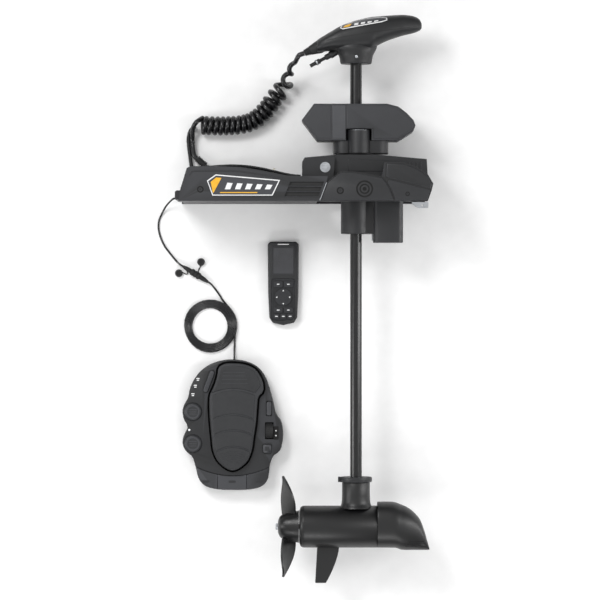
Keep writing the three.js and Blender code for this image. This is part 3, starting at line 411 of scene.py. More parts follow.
def lathe(name, profile, axis, centre, finish, steps=96, smooth=40):
    """A profile of (distance along the axis, radius) in mm, spun about the axis through the centre."""
    axis = Vector(axis)
    out = Vector((0, 0, 1)) if abs(axis.z) < 0.5 else Vector((1, 0, 0))
    bm = bmesh.new()
    chain = [bm.verts.new(centre + axis * (a * MM) + out * (r * MM)) for a, r in profile]
    edges = [bm.edges.new(pair) for pair in zip(chain, chain[1:])]
    bmesh.ops.spin(bm, geom=chain + edges, cent=centre, axis=axis, angle=math.tau, steps=steps,
                   use_merge=True)
    bmesh.ops.remove_doubles(bm, verts=bm.verts, dist=0.01 * MM)
    bmesh.ops.recalc_face_normals(bm, faces=bm.faces)
    return shown(name, bm, finish, smooth)


def between(a, b, c, d, t):
    """A share t of the way from b to c on the Catmull-Rom curve through all four."""
    return 0.5 * (2 * b + (c - a) * t + (2 * a - 5 * b + 4 * c - d) * t * t
                  + (3 * b - a - 3 * c + d) * t ** 3)


def plain_ring(low, high, inner, outer):
    """The profile of a plain ring for a lathe, from low to high along its axis."""
    return [(low, inner), (low, outer), (high, outer), (high, inner), (low, inner)]


def smooth_sections(sections, steps):
    """The sections with smooth ones between them."""
    ends = [sections[0], *sections, sections[-1]]
    rows = []
    for rows_of_four in zip(ends, ends[1:], ends[2:], ends[3:]):
        for i in range(steps):
            rows.append([between(a, b, c, d, i / steps) for a, b, c, d in zip(*rows_of_four)])
    return rows + [list(sections[-1])]


def bridged(name, bm, rings, finish, smooth=40):
    """Joins each ring to the next, closes both ends and makes the bmesh an object."""
    for first, second in zip(rings, rings[1:]):
        both = set(first) | set(second)
        edges = {e for v in both for e in v.link_edges if set(e.verts) <= both}
        bmesh.ops.bridge_loops(bm, edges=list(edges))
    for ring in (rings[0], rings[-1]):
        bm.faces.new(ring)
    bmesh.ops.recalc_face_normals(bm, faces=bm.faces)
    return shown(name, bm, finish, smooth)


def walled(piece, thickness, offset=0.0):
    """Gives a surface a thickness in mm: offset 0 is half to each side, 1 all outside and -1 all inside."""
    wall = piece.modifiers.new("wall", "SOLIDIFY")
    wall.thickness = thickness * MM
    wall.offset = offset
    return piece


def depth_at(sections, squareness, x, y):
    """The half width of a loft's side at x and y, in mm, straight between its sections."""
    for (x0, low0, high0, half0), (x1, low1, high1, half1) in zip(sections, sections[1:]):
        if x0 <= x <= x1:
            t = (x - x0) / (x1 - x0)
            low, high = low0 + (low1 - low0) * t, high0 + (high1 - high0) * t
            half = half0 + (half1 - half0) * t
            rise = min(1.0, abs(2 * y - high - low) / (high - low))
            return half * (1 - rise ** squareness) ** (1 / squareness)
    return 0.0


def laid(name, bm, sections, squareness, side, finish):
    """Pushes a flat bmesh out to just above one side of a loft and faces it outwards."""
    for vert in bm.verts:
        x, y = vert.co.x, vert.co.y
        vert.co = at(x, y, MID + side * (depth_at(sections, squareness, x, y) + 0.25))
    bm.normal_update()
    if sum(f.normal.z for f in bm.faces) * side < 0:
        bmesh.ops.reverse_faces(bm, faces=bm.faces)
    return shown(name, bm, finish)


def loft(name, sections, finish, around=40, squareness=2.4, smooth=50, steps=5):
    """Bridges superellipse rings: each section is (x, low y, high y, half width) in mm about the middle."""
    bm = bmesh.new()
    rings = []
    for x, low, high, half in smooth_sections(sections, steps):
        ring = bmesh.ops.create_circle(bm, segments=around, radius=1.0)["verts"]
        for vert in ring:
            angle = math.atan2(vert.co.y, vert.co.x)
            cosine, sine = math.cos(angle), math.sin(angle)
            y = math.copysign(abs(sine) ** (2 / squareness), sine) * (high - low) / 2 + (high + low) / 2
            z = math.copysign(abs(cosine) ** (2 / squareness), cosine) * half
            vert.co = at(x, y, MID + z)
        rings.append(ring)
    return bridged(name, bm, rings, finish, smooth)


def screw(name, centre, radius, body, finish):
    """A pan-head screw that faces up, with a cross recess."""
    piece = lathe(name, [(0, 0.01), (0, radius), (1.4, radius), (2.4, radius * 0.7), (2.8, 0.01)],
                  UP, centre, finish, 32)
    bm = bmesh.new()
    bm.from_mesh(piece.data)
    for turn in (0, 90):
        size = Matrix.Diagonal((radius * 1.1 * MM, radius * 0.22 * MM, 0.6 * MM, 1))
        spot = Matrix.Translation(centre + Vector((0, 0, 2.6 * MM)))
        bmesh.ops.create_cube(bm, size=1, matrix=spot @ Matrix.Rotation(math.radians(turn), 4, "Z") @ size)
    bm.to_mesh(piece.data)
    bm.free()
    return give(piece, body, "steel")


def arc(cx, cy, radius, start, end, steps):
    """Points on an arc, angles in degrees."""
    angles = [math.radians(start + (end - start) * i / steps) for i in range(steps + 1)]
    return [(cx + radius * math.cos(a), cy + radius * math.sin(a)) for a in angles]


def box_outline(x0, x1, y0, y1, radius):
    """A rectangle with round corners, as points."""
    corners = [(x1 - radius, y1 - radius, 0), (x0 + radius, y1 - radius, 90),
               (x0 + radius, y0 + radius, 180), (x1 - radius, y0 + radius, 270)]
    return [p for cx, cy, a in corners for p in arc(cx, cy, radius, a, a + 90, 5)]


# ---- Cords ----
def smooth_path(points, spacing):
    """A Catmull-Rom curve through the points, in mm, sampled about every spacing."""
    ends = [points[0]] + list(points) + [points[-1]]
    knots = [Vector(p) for p in ends]
    path = []
    for p0, p1, p2, p3 in zip(knots, knots[1:], knots[2:], knots[3:]):
        count = max(2, round((p2 - p1).length / spacing))
        path += [between(p0, p1, p2, p3, i / count) for i in range(count)]
    path.append(knots[-2])
    return path


def cord_piece(name, path, radius, finish):
    """A round jacket along the path's points, in metres, as a mesh."""
    curve = bpy.data.curves.new(name, "CURVE")
    curve.dimensions = "3D"
    curve.bevel_depth = radius * MM
    curve.bevel_resolution = 2
    curve.use_fill_caps = True
    spline = curve.splines.new("POLY")
    spline.points.add(len(path) - 1)
    for point, place in zip(spline.points, path):
        point.co = (*place, 1)
    holder = bpy.data.objects.new(name + "_route", curve)
    bpy.context.collection.objects.link(holder)
    mesh = bpy.data.meshes.new_from_object(holder.evaluated_get(bpy.context.evaluated_depsgraph_get()))
    bpy.data.objects.remove(holder)
    mesh.name = name
    piece = bpy.data.objects.new(name, mesh)
    bpy.context.collection.objects.link(piece)
    mesh.materials.clear()
    mesh.materials.append(FINISHES[finish])
    mesh.shade_smooth()
    return piece


CURLY_R = 6.1
HELIX_R = 18.1
COIL_TURNS = 16
LEAD_TURNS = 3
COIL_Z = 24.4
BOOT_TIP = (-126.57, 365.5, MID)
CURLY_LEAD = [BOOT_TIP, (-137.6, 360.9, MID), (-152, 344, 110), (-163, 322, 80), (-170, 303, 48),
              (-174, 294, 31)]
COIL_AXIS = [(-184, 281.5, COIL_Z), (-203, 259, COIL_Z), (-215, 240, COIL_Z), (-229, 225, COIL_Z),
             (-240, 214, COIL_Z), (-255, 205, COIL_Z), (-270, 199, COIL_Z), (-298, 194.5, COIL_Z),
             (-340, 193, COIL_Z), (-380, 194.5, COIL_Z)]
CURLY_TAIL = [(-394, 201, 40), (-402, 186, 30), (-404, 160, 15), (-403, 138, 15), (-398.9, 118.5, 15),
              (-392.9, 113.1, 15)]
SECOND_TAIL = [(-396, 192, 14), (-408, 184, 12), (-414, 165, 11), (-413, 140, 11), (-410, 118, 11),
               (-407, 96, 11), (-404, 87, 11)]


def curls(axis, turns, start_angle, radius_at, spread=1.0, steps=24):
    """A helix about the axis route; the radius may grow along it, and the turns may bunch at one end."""
    samples = smooth_path(axis, 1.0)
    count = turns * steps
    points = []
    for i in range(count + 1):
        share = i / count
        spot = share ** spread * (len(samples) - 2)
        index = min(int(spot), len(samples) - 3)
        centre = samples[index].lerp(samples[index + 1], spot - index)
        along = (samples[min(index + 2, len(samples) - 1)] - samples[max(index - 1, 0)]).normalized()
        side = along.cross(Vector((0, 0, 1))).normalized()
        up = side.cross(along)
        angle = math.tau * turns * share + start_angle
        radius = radius_at(share)
        points.append(centre + side * (radius * math.cos(angle)) + up * (radius * math.sin(angle)))
    return points


def head_cord():
    """The curly cord: stretched curls from the boot, the coil lying on the floor, and a tail to the base."""
    lead_axis = CURLY_LEAD[1:] + [COIL_AXIS[0]]
    lead = curls(lead_axis, LEAD_TURNS, 0.0, lambda share: 1.0 + (HELIX_R - 1.0) * share ** 1.6, 1.0, 32)
    coil = curls(COIL_AXIS, COIL_TURNS, math.tau * LEAD_TURNS, lambda share: HELIX_R, 0.88)
    tail = smooth_path([coil[-1], *CURLY_TAIL], 4)
    start = smooth_path([BOOT_TIP, lead[1]], 4)
    route = start[:-1] + lead[1:-1] + coil + tail[1:]
    path = [at(*p) for p in route]
    curly = cord_piece("curly_cord", path, CURLY_R, "jacket")
    give(curly, "base", "cord_rubber", "curly_cord_lead", "curly_cord_coil", "curly_cord_tail")
    second = [at(*p) for p in smooth_path(SECOND_TAIL, 4)]
    strand = cord_piece("second_tail", second, CURLY_R - 1.5, "jacket")
    give(strand, "base", "cord_rubber")


DECK_ROUTE = [(-371.5, 93.9, 15), (-367.4, 90.9, 15), (-358, 90.2, 16), (-337, 92, 18), (-291, 93, 18),
              (-244, 88, 18), (-206, 80, 18), (-162, 70, 18), (-135, 67.5, 18)]


def deck_cables():
    """Three cables along the deck, and the tie that holds them."""
    for index, (lift, drop, radius) in enumerate([(0, 0, 5), (11, 1.5, 3.6), (19, -1, 3.2)]):
        skip = 0 if index == 0 else 1
        route = [(x, y - drop, z + lift) for x, y, z in DECK_ROUTE[skip:]]
        path = [at(*p) for p in smooth_path(route, 6)]
        cable = cord_piece(f"deck_cable_{index + 1}", path, radius, "jacket")
        nodes = ["deck_cable"] if index == 0 else []
        give(cable, "base", "cord_rubber", *nodes)
    tie = lathe("cable_tie", plain_ring(-3, 3, 8.2, 9.6),
                Vector((0.93, -0.36, 0)).normalized(), at(-204, 79.5, 24), "gear", 32)
    give(tie, "base", "gear_nylon")


PEDAL_CORD_R = 2.5
CORD_A = [(-440.4, 12, 45), (-450, 12, 45), (-468, -4, 18), (-481, -26, 4), (-488, -45, 3.2),
          (-488, -65, 3.2), (-483, -84, 3.2), (-473, -105, 3.2), (-458, -125, 3.2), (-443, -143, 5),
          (-435, -150, 8), (-427.5, -154.7, 8.6)]
CORD_B = [(-364.7, -194.2, 8.6), (-358, -198.6, 8), (-347, -212, 3.5), (-336.5, -227, 3.2)]
CORD_C = [(-299.4, -340.6, 3.2), (-299.4, -350, 3.2), (-300, -362, 5), (-300, -374, 9), (-300, -387.4, 11)]
COIL_CENTRE = (-360, -303)
COIL_RADII = (65.2, 45.2)
COIL_START, COIL_END = 62.0, -30.0
COIL_LAYERS = 2
TURNS_A_LAYER = 5


def round_coil():
    """Two flat layers of turns side by side: inwards on the floor, then outwards on top."""
    total = COIL_START - COIL_END + 360 * COIL_LAYERS * TURNS_A_LAYER
    count = COIL_LAYERS * TURNS_A_LAYER * 30
    points = []
    for i in range(count + 1):
        share = i / count
        angle = math.radians(COIL_START - total * share)
        inward = 1 - abs(2 * share - 1)
        radius = COIL_RADII[0] + (COIL_RADII[1] - COIL_RADII[0]) * inward
        layer = 1 / (1 + math.exp(-60 * (share - 0.5)))
        wobble = 0.5 * math.sin(3 * angle + 7 * share)
        height = 2.7 + 4.9 * layer
        points.append(Vector((COIL_CENTRE[0] + (radius + wobble) * math.cos(angle),
                              COIL_CENTRE[1] + (radius + wobble) * math.sin(angle), height)))
    return points


def pedal_cord():
    """The cord from the base through the in-line connector and the round coil to the pedal."""
    first = smooth_path(CORD_A, 4)
    through = [Vector(CORD_A[-1]).lerp(Vector(CORD_B[0]), i / 8) for i in range(1, 8)]
    coil = round_coil()
    second = smooth_path(CORD_B + [(-327.8, -240.5, 2.9), tuple(coil[2])], 4)
    last = smooth_path([tuple(coil[-2]), tuple(Vector(CORD_C[0])), *CORD_C[1:]], 4)
    path = [at(*p) for p in first + through + second + coil[3:-2] + last]
    cord = cord_piece("pedal_cord", path, PEDAL_CORD_R, "jacket")
    give(cord, "base", "cord_rubber", "pedal_cord_a", "pedal_cord_b", "pedal_cord_c", "pedal_cord_coil")
    fittings = cord_fittings()


def cord_fittings():
    """The moulded in-line connector and its two tethered caps."""
    direction = Vector((62, -39, 0)).normalized()
    start = at(-427, -155, 8.6)
    profile = [(0, 2.6), (0, 3.4), (3, 3.6), (14, 5.6), (22, 5.6), (23, 7.2), (25, 8.4), (30, 8.4), (31, 7.4),
               (33, 7.4), (34, 8.4), (38, 8.4), (39, 7.4), (41, 7.4), (42, 8.4), (47, 8.4), (50, 5.6),
               (60, 5.6), (70, 3.6), (73, 3.4), (73, 2.6), (0, 2.6)]
    joint = lathe("connector_body", profile, direction, start, "rubber", 48)
    give(joint, "base", "soft_rubber", "cord_connector")
    fittings = [joint]
    for name, x, y, end in (("aft", -438, -172, 20), ("bow", -383, -144, 52)):
        profile = [(0.1, 0.01), (0.1, 9.2), (2, 9.6), (4, 9.0), (6, 9.6), (9, 9.2), (12, 7.4), (12, 5.4),
                   (9.5, 5.0), (9.5, 0.01)]
        cap = lathe(f"cap_{name}", profile, UP, at(x, y, 0), "rubber", 48)
        give(cap, "base", "soft_rubber", "connector_cap_" + name)
        target = Vector((-427, -155, 0)) + Vector((62, -39, 0)).normalized() * end
        away = (Vector((x, y, 0)) - target).normalized()
        rim = Vector((x, y, 2)) - away * 9
        middle = (rim + target) / 2 + Vector((-away.y, away.x, 0)) * 7
        route = [tuple(rim), (middle.x, middle.y, 2), (target.x + away.x * 7, target.y + away.y * 7, 6)]
        path = [at(*p) for p in smooth_path(route, 2)]
        strap = cord_piece(f"cap_strap_{name}", path, 1.3, "rubber")
        give(strap, "base", "soft_rubber")
        fittings += [cap, strap]
    return fittings


def relief_sleeve():
    """The ribbed sleeve where the curly cord meets the deck cable."""
    start = at(-392.4, 112.7, 15)
    end = at(-372, 94.4, 15)
    length = (end - start).length / MM
    ribs = 6
    profile = [(0, 6.2)]
    for i in range(ribs):
        a = i * length / ribs
        step = length / ribs
        profile += [(a + 0.05 * step, 8.6), (a + 0.6 * step, 8.6), (a + 0.65 * step, 7.2), (a + step, 7.2)]
    profile += [(length, 5.1), (0, 6.2)]
    sleeve = lathe("ribbed_sleeve", profile, (end - start).normalized(), start, "rubber", 40)
    give(sleeve, "base", "soft_rubber", "cord_relief")


# ---- Control head ----
HEAD_SECTIONS = [(-95.5, 368, 396.5, 25), (-92, 367, 399.5, 29), (-80, 369, 407, 36), (-60, 371, 419, 42),
                 (-40, 371, 430.5, 45), (-15, 371, 440.5, 47), (15, 371, 449, 48), (37, 373, 453.5, 47),
                 (52, 384, 455, 45), (77, 396, 457, 41), (100, 404, 458.5, 36), (117, 409, 459, 32),
                 (135, 413, 457, 26), (148, 417, 453, 21), (156, 421, 447, 16), (160.5, 426, 438, 9)]
HEAD_SQUARENESS = 2.5


def control_head():
    """The head's shell, its collar with a dark joint and a screw, and its trim."""
    shell = loft("head_shell", HEAD_SECTIONS, "cover", 56, HEAD_SQUARENESS)
    give(shell, "shaft_assembly", "cover_plastic", "head_upper", "head_lower")
    collar = [(339, -36, 36, 36), (340, -37.5, 37.5, 37), (345, -39, 39, 38), (352, -40, 40, 38.5),
              (360, -43, 42, 39), (368, -50, 46, 40), (376, -60, 50, 41), (384, -66, 52, 40)]
    neck = upright_loft("head_neck", collar, "cover")
    give(neck, "shaft_assembly", "cover_plastic")
    band = lathe("neck_gap", plain_ring(0, 1.6, 15, 38.6), TO_HEAD,
                 at(0, 349.5, MID), "rubber", 64)
    give(band, "shaft_assembly", "soft_rubber")
    screw("collar_screw", at(0.6, 355, MID + 36.6), 4.0, "shaft_assembly", "steel")
    head_trim()
    boot_and_plug()


def upright_loft(name, sections, finish, around=64):
    """Bridges ellipses in level planes: each section is (height, low x, high x, half width) in mm."""
    bm = bmesh.new()
    rings = []
    for y, low, high, half in smooth_sections(sections, 3):
        ring = bmesh.ops.create_circle(bm, segments=around, radius=1.0)["verts"]
        for vert in ring:
            vert.co = at(vert.co.x * (high - low) / 2 + (high + low) / 2, y, MID + vert.co.y * half)
        rings.append(ring)
    return bridged(name, bm, rings, finish)


def skin(name, outline, thickness, finish, side=1):
    """A patch laid on the side of the head: the outline's grid, pushed on to the surface."""
    bm = bmesh.new()
    face = bm.faces.new([bm.verts.new((x, y, 0)) for x, y in outline])
    bmesh.ops.triangulate(bm, faces=[face])
    bmesh.ops.subdivide_edges(bm, edges=bm.edges, cuts=5, use_grid_fill=True)
    return walled(laid(name, bm, HEAD_SECTIONS, HEAD_SQUARENESS, side, finish), thickness, 1.0)


def head_trim():
    """The side label with its border, its plain marks and the parting line between the shells."""
    border = [(-39, 423.5), (-33, 420.5), (62, 438), (76, 443), (75, 450), (58, 452), (20, 448), (-8, 440.5),
              (-37, 430)]
    field = [(-36.5, 424.5), (-32, 422.8), (60, 440), (73.5, 444), (72.8, 448.6), (58, 450.4), (20, 446.4),
             (-8, 438.8), (-34.6, 429)]
    stripe = [(-32, 424.6), (-16, 427.6), (-11, 434.6), (-27, 430.2)]
    seam = [(-90, 389.6), (-40, 400), (40, 413), (120, 424), (156, 430), (156, 431.2), (120, 425.3),
            (40, 414.3), (-40, 401.3), (-90, 390.9)]
    for name, side in (("near", 1), ("far", -1)):
        give(skin(f"head_border_{name}", border, 0.25, "white", side), "shaft_assembly", None)
        give(skin(f"head_label_{name}", field, 0.55, "label", side), "shaft_assembly", None)
        give(skin(f"head_accent_{name}", stripe, 0.9, "yellow", side), "shaft_assembly", None)
        give(skin(f"head_seam_{name}", seam, 0.15, "rubber", side), "shaft_assembly",
             "soft_rubber")
        for i in range(4):
            x = -5 + 16 * i
            low = 429.6 + 2.9 * i
            bar = [(x, low), (x + 10, low + 1.8), (x + 11, low + 7.2 - 0.9 * i), (x + 1, low + 5.6 - 0.9 * i)]
            give(skin(f"head_mark_{name}_{i + 1}", bar, 0.9, "white", side), "shaft_assembly",
                 None)


def boot_and_plug():
    """The ribbed boot of the curly cord, and the short network lead with its plug."""
    angle = math.radians(202.8)
    away = Vector((math.cos(angle), math.sin(angle), 0))
    profile = [(-6, 6.3), (-6, 16), (3, 16.4), (5, 15.6), (7, 15.4), (26, 10.6), (27, 9.2)]
    for i in range(4):
        a = 27.4 + 3.4 * i
        r = 10.2 - 0.6 * i
        profile += [(a, r - 1.4), (a + 0.3, r), (a + 2.2, r), (a + 2.5, r - 1.4)]
    profile += [(41, 7), (41, 6.2), (-6, 6.3)]
    boot = lathe("ribbed_boot", profile, away, at(-88.5, 381.5, MID), "rubber", 48)
    give(boot, "shaft_assembly", "soft_rubber", "head_boot")
    angle = math.radians(208.5)
    away = Vector((math.cos(angle), math.sin(angle), 0))
    profile = [(0, 0.01), (0, 6.6), (3, 7.0), (12, 7.0), (15, 6.6), (17, 4.2), (30, 4.2), (32, 6.4)]
    profile += [(35, 6.4), (35.4, 5.8), (37, 5.8), (37.4, 6.4), (42, 6.4), (44, 4.6), (58, 4.6), (58, 0.01)]
    plug = lathe("network_lead", profile, away, at(-61, 361.7, MID), "rubber", 40)
    give(plug, "shaft_assembly", "dark_plastic", "network_plug")
    socket = lathe("network_socket", [(-20, 0.01), (-20, 8.4), (-6, 8.4), (-4, 9.2), (2, 9.2), (3, 8.2),
                                      (3, 0.01)], away, at(-61, 361.7, MID), "nylon", 40)
    give(socket, "shaft_assembly", "dark_plastic")
    ring = lathe("plug_ring", plain_ring(38, 41.5, 6.5, 7.2), away,
                 at(-61, 361.7, MID), "steel", 40)
    give(ring, "shaft_assembly", "steel")


# ---- Shaft and trim module ----
def shaft_and_collar():
    """The shaft, and the turning collar with the cap on its boss."""
    tube = lathe("shaft", plain_ring(-735, 352, 11.3, 14.3), TO_HEAD,
                 at(0, 0, MID), "shaft", 72)
    give(tube, "shaft_assembly", "shaft_composite", "shaft_tube")
    refine("turn_collar", "nylon", 1.6, "trim_module", "dark_plastic")
    boss_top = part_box("turn_collar")[1].y
    cap = lathe("boss_cap", [(-3, 22), (0, 22), (0.8, 23), (0.8, 26), (-3, 26), (-3, 22)], TO_HEAD,
                Vector((at(6, 0, 0).x, boss_top, at(0, 0, MID + 41).z)), "steel", 64)
    give(cap, "trim_module", "steel")


def trim_module():
    """The two cases, with raised facets on both faces and a band between them painted lighter as a highlight.
    """
    for name in ("near", "far"):
        refine("trim_case_" + name, "charcoal", 3.2, "trim_module", "trim_plastic", 4)
    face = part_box("trim_case_near")[1].z / MM
    aft = [(-127, 199), (-100, 234.5), (-62.5, 234.5), (-62.5, 153.6), (-93, 153.6)]
    band = [(-58, 153.6), (-58, 234.5), (-27, 234.5), (-27, 153.6)]
    bow = [(-22.5, 179), (-22.5, 234.5), (74, 234.5), (100, 227.5), (119.5, 213), (134, 197), (138.5, 186),
           (134.5, 175.5), (112.5, 161.5), (100, 153.6), (42, 153.6), (42, 179)]
    back = 2 * MID - face
    for name, z0, z1 in (("near", face - 0.3, face + 1.5), ("far", back - 1.5, back + 0.3)):
        # The band's lighter finish is a painted highlight for the facet that catches the light.
        outlines = (("aft", aft, "charcoal"), ("band", band, "trim"), ("bow", bow, "charcoal"))
        for place, outline, finish in outlines:
            panel = plate(f"trim_{place}_{name}", outline, z0, z1, finish, 1.1, 3)
            give(panel, "trim_module", "trim_plastic")


# ---- Base ----
def base():
    """The deck frame, its covers and bracket, and the bolt that the carriage tilts on."""
    refine("deck_frame", "deck", 1.0, "base", "deck_aluminium", 2)
    for name in ("near", "far"):
        refine("side_cover_" + name, "cover", 2.4, "base", "cover_plastic")
        refine("bow_cover_" + name, "cover", 2.8, "base", "cover_plastic")
    refine("aft_end_cap", "nylon", 1.4, "base", "dark_plastic")
    refine("bow_bracket", "steel", 0.8, "base", "steel", 2)
    cover_details()
    pivot_plate()
    bolt = lathe("pivot_bolt", [(80.3, 0.01), (80.3, 9.6), (84, 9.8), (85.6, 8.6), (85.6, 6.0), (84.4, 5.6),
                                (84.4, 0.01)], UP, at(-76, 83.5, MID - 4), "steel", 6)
    give(bolt, "base", "steel")
    washer = lathe("pivot_washer", plain_ring(76.2, 77.6, 6.2, 12.5),
                   UP, at(-76, 83.5, MID), "steel", 48)
    give(washer, "base", "steel")


SLOT_LEFT, SLOT_RIGHT = -174, -93


def cover_details():
    """The near cover's label, screw, vents with a dark sheet behind them as painted shade, ridge and seam."""
    frame_out = [(-361, 49), (-340, 64), (-185, 50.5), (-203, 13), (-348, 13)]
    frame_in = [(-358.4, 47.6), (-339.2, 61.2), (-188.8, 48.2), (-204.8, 15.2), (-346.2, 15.2)]
    give(plate("label_border", frame_out, TOP - 0.3, TOP + 0.5, "white", 0.2), "base", None)
    give(plate("label_field", frame_in, TOP - 0.2, TOP + 0.8, "label", 0.2), "base", None)
    accent = [(-352, 46), (-338.6, 56.6), (-326, 55.5), (-345, 20), (-347, 20)]
    give(plate("label_accent", accent, TOP, TOP + 1.0, "yellow", 0.15), "base", None)
    for i in range(5):
        x = -318 + 24 * i
        bar = [(x, 28), (x + 13, 28), (x + 19, 43 - 1.1 * i), (x + 6, 44 - 1.1 * i)]
        give(plate(f"label_bar_{i + 1}", bar, TOP, TOP + 1.0, "white", 0.15), "base", None)
    line = [(-330, 19), (-240, 19), (-239, 21.4), (-329, 21.4)]
    give(plate("label_line", line, TOP, TOP + 1.0, "yellow", 0.15), "base", None)
    countersink("cover_aft", -377, 28, 8, TOP)
    # A dark sheet under the vents paints the shade inside the slots.
    back = [(SLOT_LEFT - 5, 8), (SLOT_RIGHT + 3, 8), (SLOT_RIGHT + 20, 52), (SLOT_LEFT + 8, 52)]
    give(plate("vent_shade_backing", back, TOP - 7.6, TOP - 4.2, "rubber", 0.3), "base", "soft_rubber")
    ridge = [(-403, 60), (-396, 70), (-355, 71), (-283, 69.5), (-231, 62), (-178, 52), (-177, 54.5),
             (-230, 65), (-282, 73), (-355, 74.6), (-399, 73.6), (-407, 61)]
    give(plate("cover_ridge", ridge, TOP - 0.5, TOP + 1.0, "cover", 0.9, 3), "base",
         "cover_plastic")
    seam = [(-73.6, 44.6), (-90, 1.5), (-88.4, 1.5), (-72, 44.2)]
    give(plate("cover_seam", seam, TOP - 0.2, TOP + 0.7, "steel", 0.2), "base", "steel")
    for row in range(3):
        low = 12 + 12.6 * row
        shift = 5 * row
        lip = [(SLOT_LEFT + shift - 2, low - 1.8), (SLOT_RIGHT + shift + 2, low - 1.8),
               (SLOT_RIGHT + shift + 2, low - 0.4), (SLOT_LEFT + shift - 2, low - 0.4)]
        give(plate(f"vent_lip_{row + 1}", lip, TOP - 1, TOP + 1.6, "cover", 0.5), "base",
             "cover_plastic")


def pivot_plate():
    """The shield over the pivot, its screw, a plain round badge, and the cradle cap, over a dark sheet that
    paints the shade in the gaps between them.
    """
    # A dark sheet under the shield, cap and foot: painted shade in the gaps between them.
    joint = [(-86.5, 1), (-71, 45), (-65, 50.5), (-38.7, 70.8), (-7.2, 70.8), (62, 57.6), (68, 58),
             (69.5, 92), (112, 92), (143.4, 81), (170, 63.6), (182.6, 42), (179.6, 25.5), (170.4, 1)]
    give(plate("bow_gap_shade", joint, TOP - 0.5, TOP + 0.3, "rubber", 0.2), "base", "soft_rubber")
    shield = [(-84.5, 2), (-69.5, 44), (-64, 49), (-38.2, 68.6), (-7.7, 68.6), (61.5, 55.4), (70, 44),
              (78, 30), (84, 16), (88.5, 2)]
    give(rounded(plate("pivot_shield", shield, TOP - 0.5, TOP + 3.4, "cover", 1.8, 4), 0.4, 1),
         "base", "cover_plastic")
    countersink("shield", -40, 25, 8.8, TOP + 3.4)
    emblem()
    cap = [(70.5, 57), (71, 90.4), (111.6, 90.4), (142.5, 79.4), (168.6, 62), (180.8, 41.6), (178.4, 28.6),
           (150, 37), (82, 53.6)]
    give(rounded(plate("cradle_cap", cap, TOP - 6, TOP + 2.4, "cover", 3.6, 5), 0.5, 1), "base",
         "cover_plastic")
    foot = [(92.5, 2), (87, 18), (81, 32), (74.5, 44.5), (78, 51.5), (150, 33.6), (177.2, 25.8), (168.8, 2)]
    give(plate("bow_foot", foot, TOP - 0.5, TOP + 2.0, "cover", 1.4, 3), "base", "cover_plastic")
    countersink("foot", 122, 17, 5.2, TOP + 2.0)


def countersink(name, x, y, radius, top):
    """A thin matt black disc that paints the shade in the screw's recess, with a socket-head screw on it."""
    recess = lathe(name + "_recess", [(0, 0.01), (0, radius), (0.35, radius), (0.35, 0.01)], UP,
                   at(x, y, top), "shade_and_badge_black", 48)
    give(recess, "base", "soft_rubber")
    head = [(0.3, 0.01), (0.3, radius * 0.62), (0.8, radius * 0.58), (0.8, radius * 0.3),
            (0.5, radius * 0.28), (0.5, 0.01)]
    bolt = lathe(name + "_screw", head, UP, at(x, y, top), "nylon", 32)
    give(bolt, "base", "steel")


def emblem():
    """A plain badge where the maker's was: three concentric rings round a disc."""
    for i, (outer, inner) in enumerate([(20.5, 16.5), (12.5, 9.0), (5.0, 0.01)]):
        rise = 0.7
        profile = [(0, inner), (0, outer), (rise, outer - 0.4), (rise, inner + 0.3), (0, inner)]
        if inner < 1:
            profile = [(0, 0.01), (0, outer), (rise, outer - 0.5), (rise, 0.01)]
        badge = lathe(f"badge_ring_{i + 1}", profile, UP, at(18.5, 29, TOP + 3.3), "shade_and_badge_black", 64)
        give(badge, "base", "soft_rubber")


def carriage():
    """The carriage and the steering housing, with a raised panel and ribs."""
    refine("carriage_frame", "nylon", 3.0, "carriage", "dark_plastic")
    refine("steering_housing", "nylon", 3.0, "carriage", "dark_plastic")
    top = MID + 62
    rib = [(-20, 74), (-20, 104), (118, 98), (118, 74)]
    give(plate("carriage_panel", rib, top - 0.3, top + 1.6, "nylon", 1.2, 3), "carriage",
         "dark_plastic")
    for i in range(4):
        x = 128 + 9 * i
        bar = [(x, 76), (x, 97 - 0.4 * i), (x + 4, 96.6 - 0.4 * i), (x + 4, 76)]
        give(plate(f"carriage_rib_{i + 1}", bar, top - 0.3, top + 2.2, "nylon", 0.7), "carriage",
             "dark_plastic")


# ---- Pod ----
NOSE_SQUARENESS = 2.35


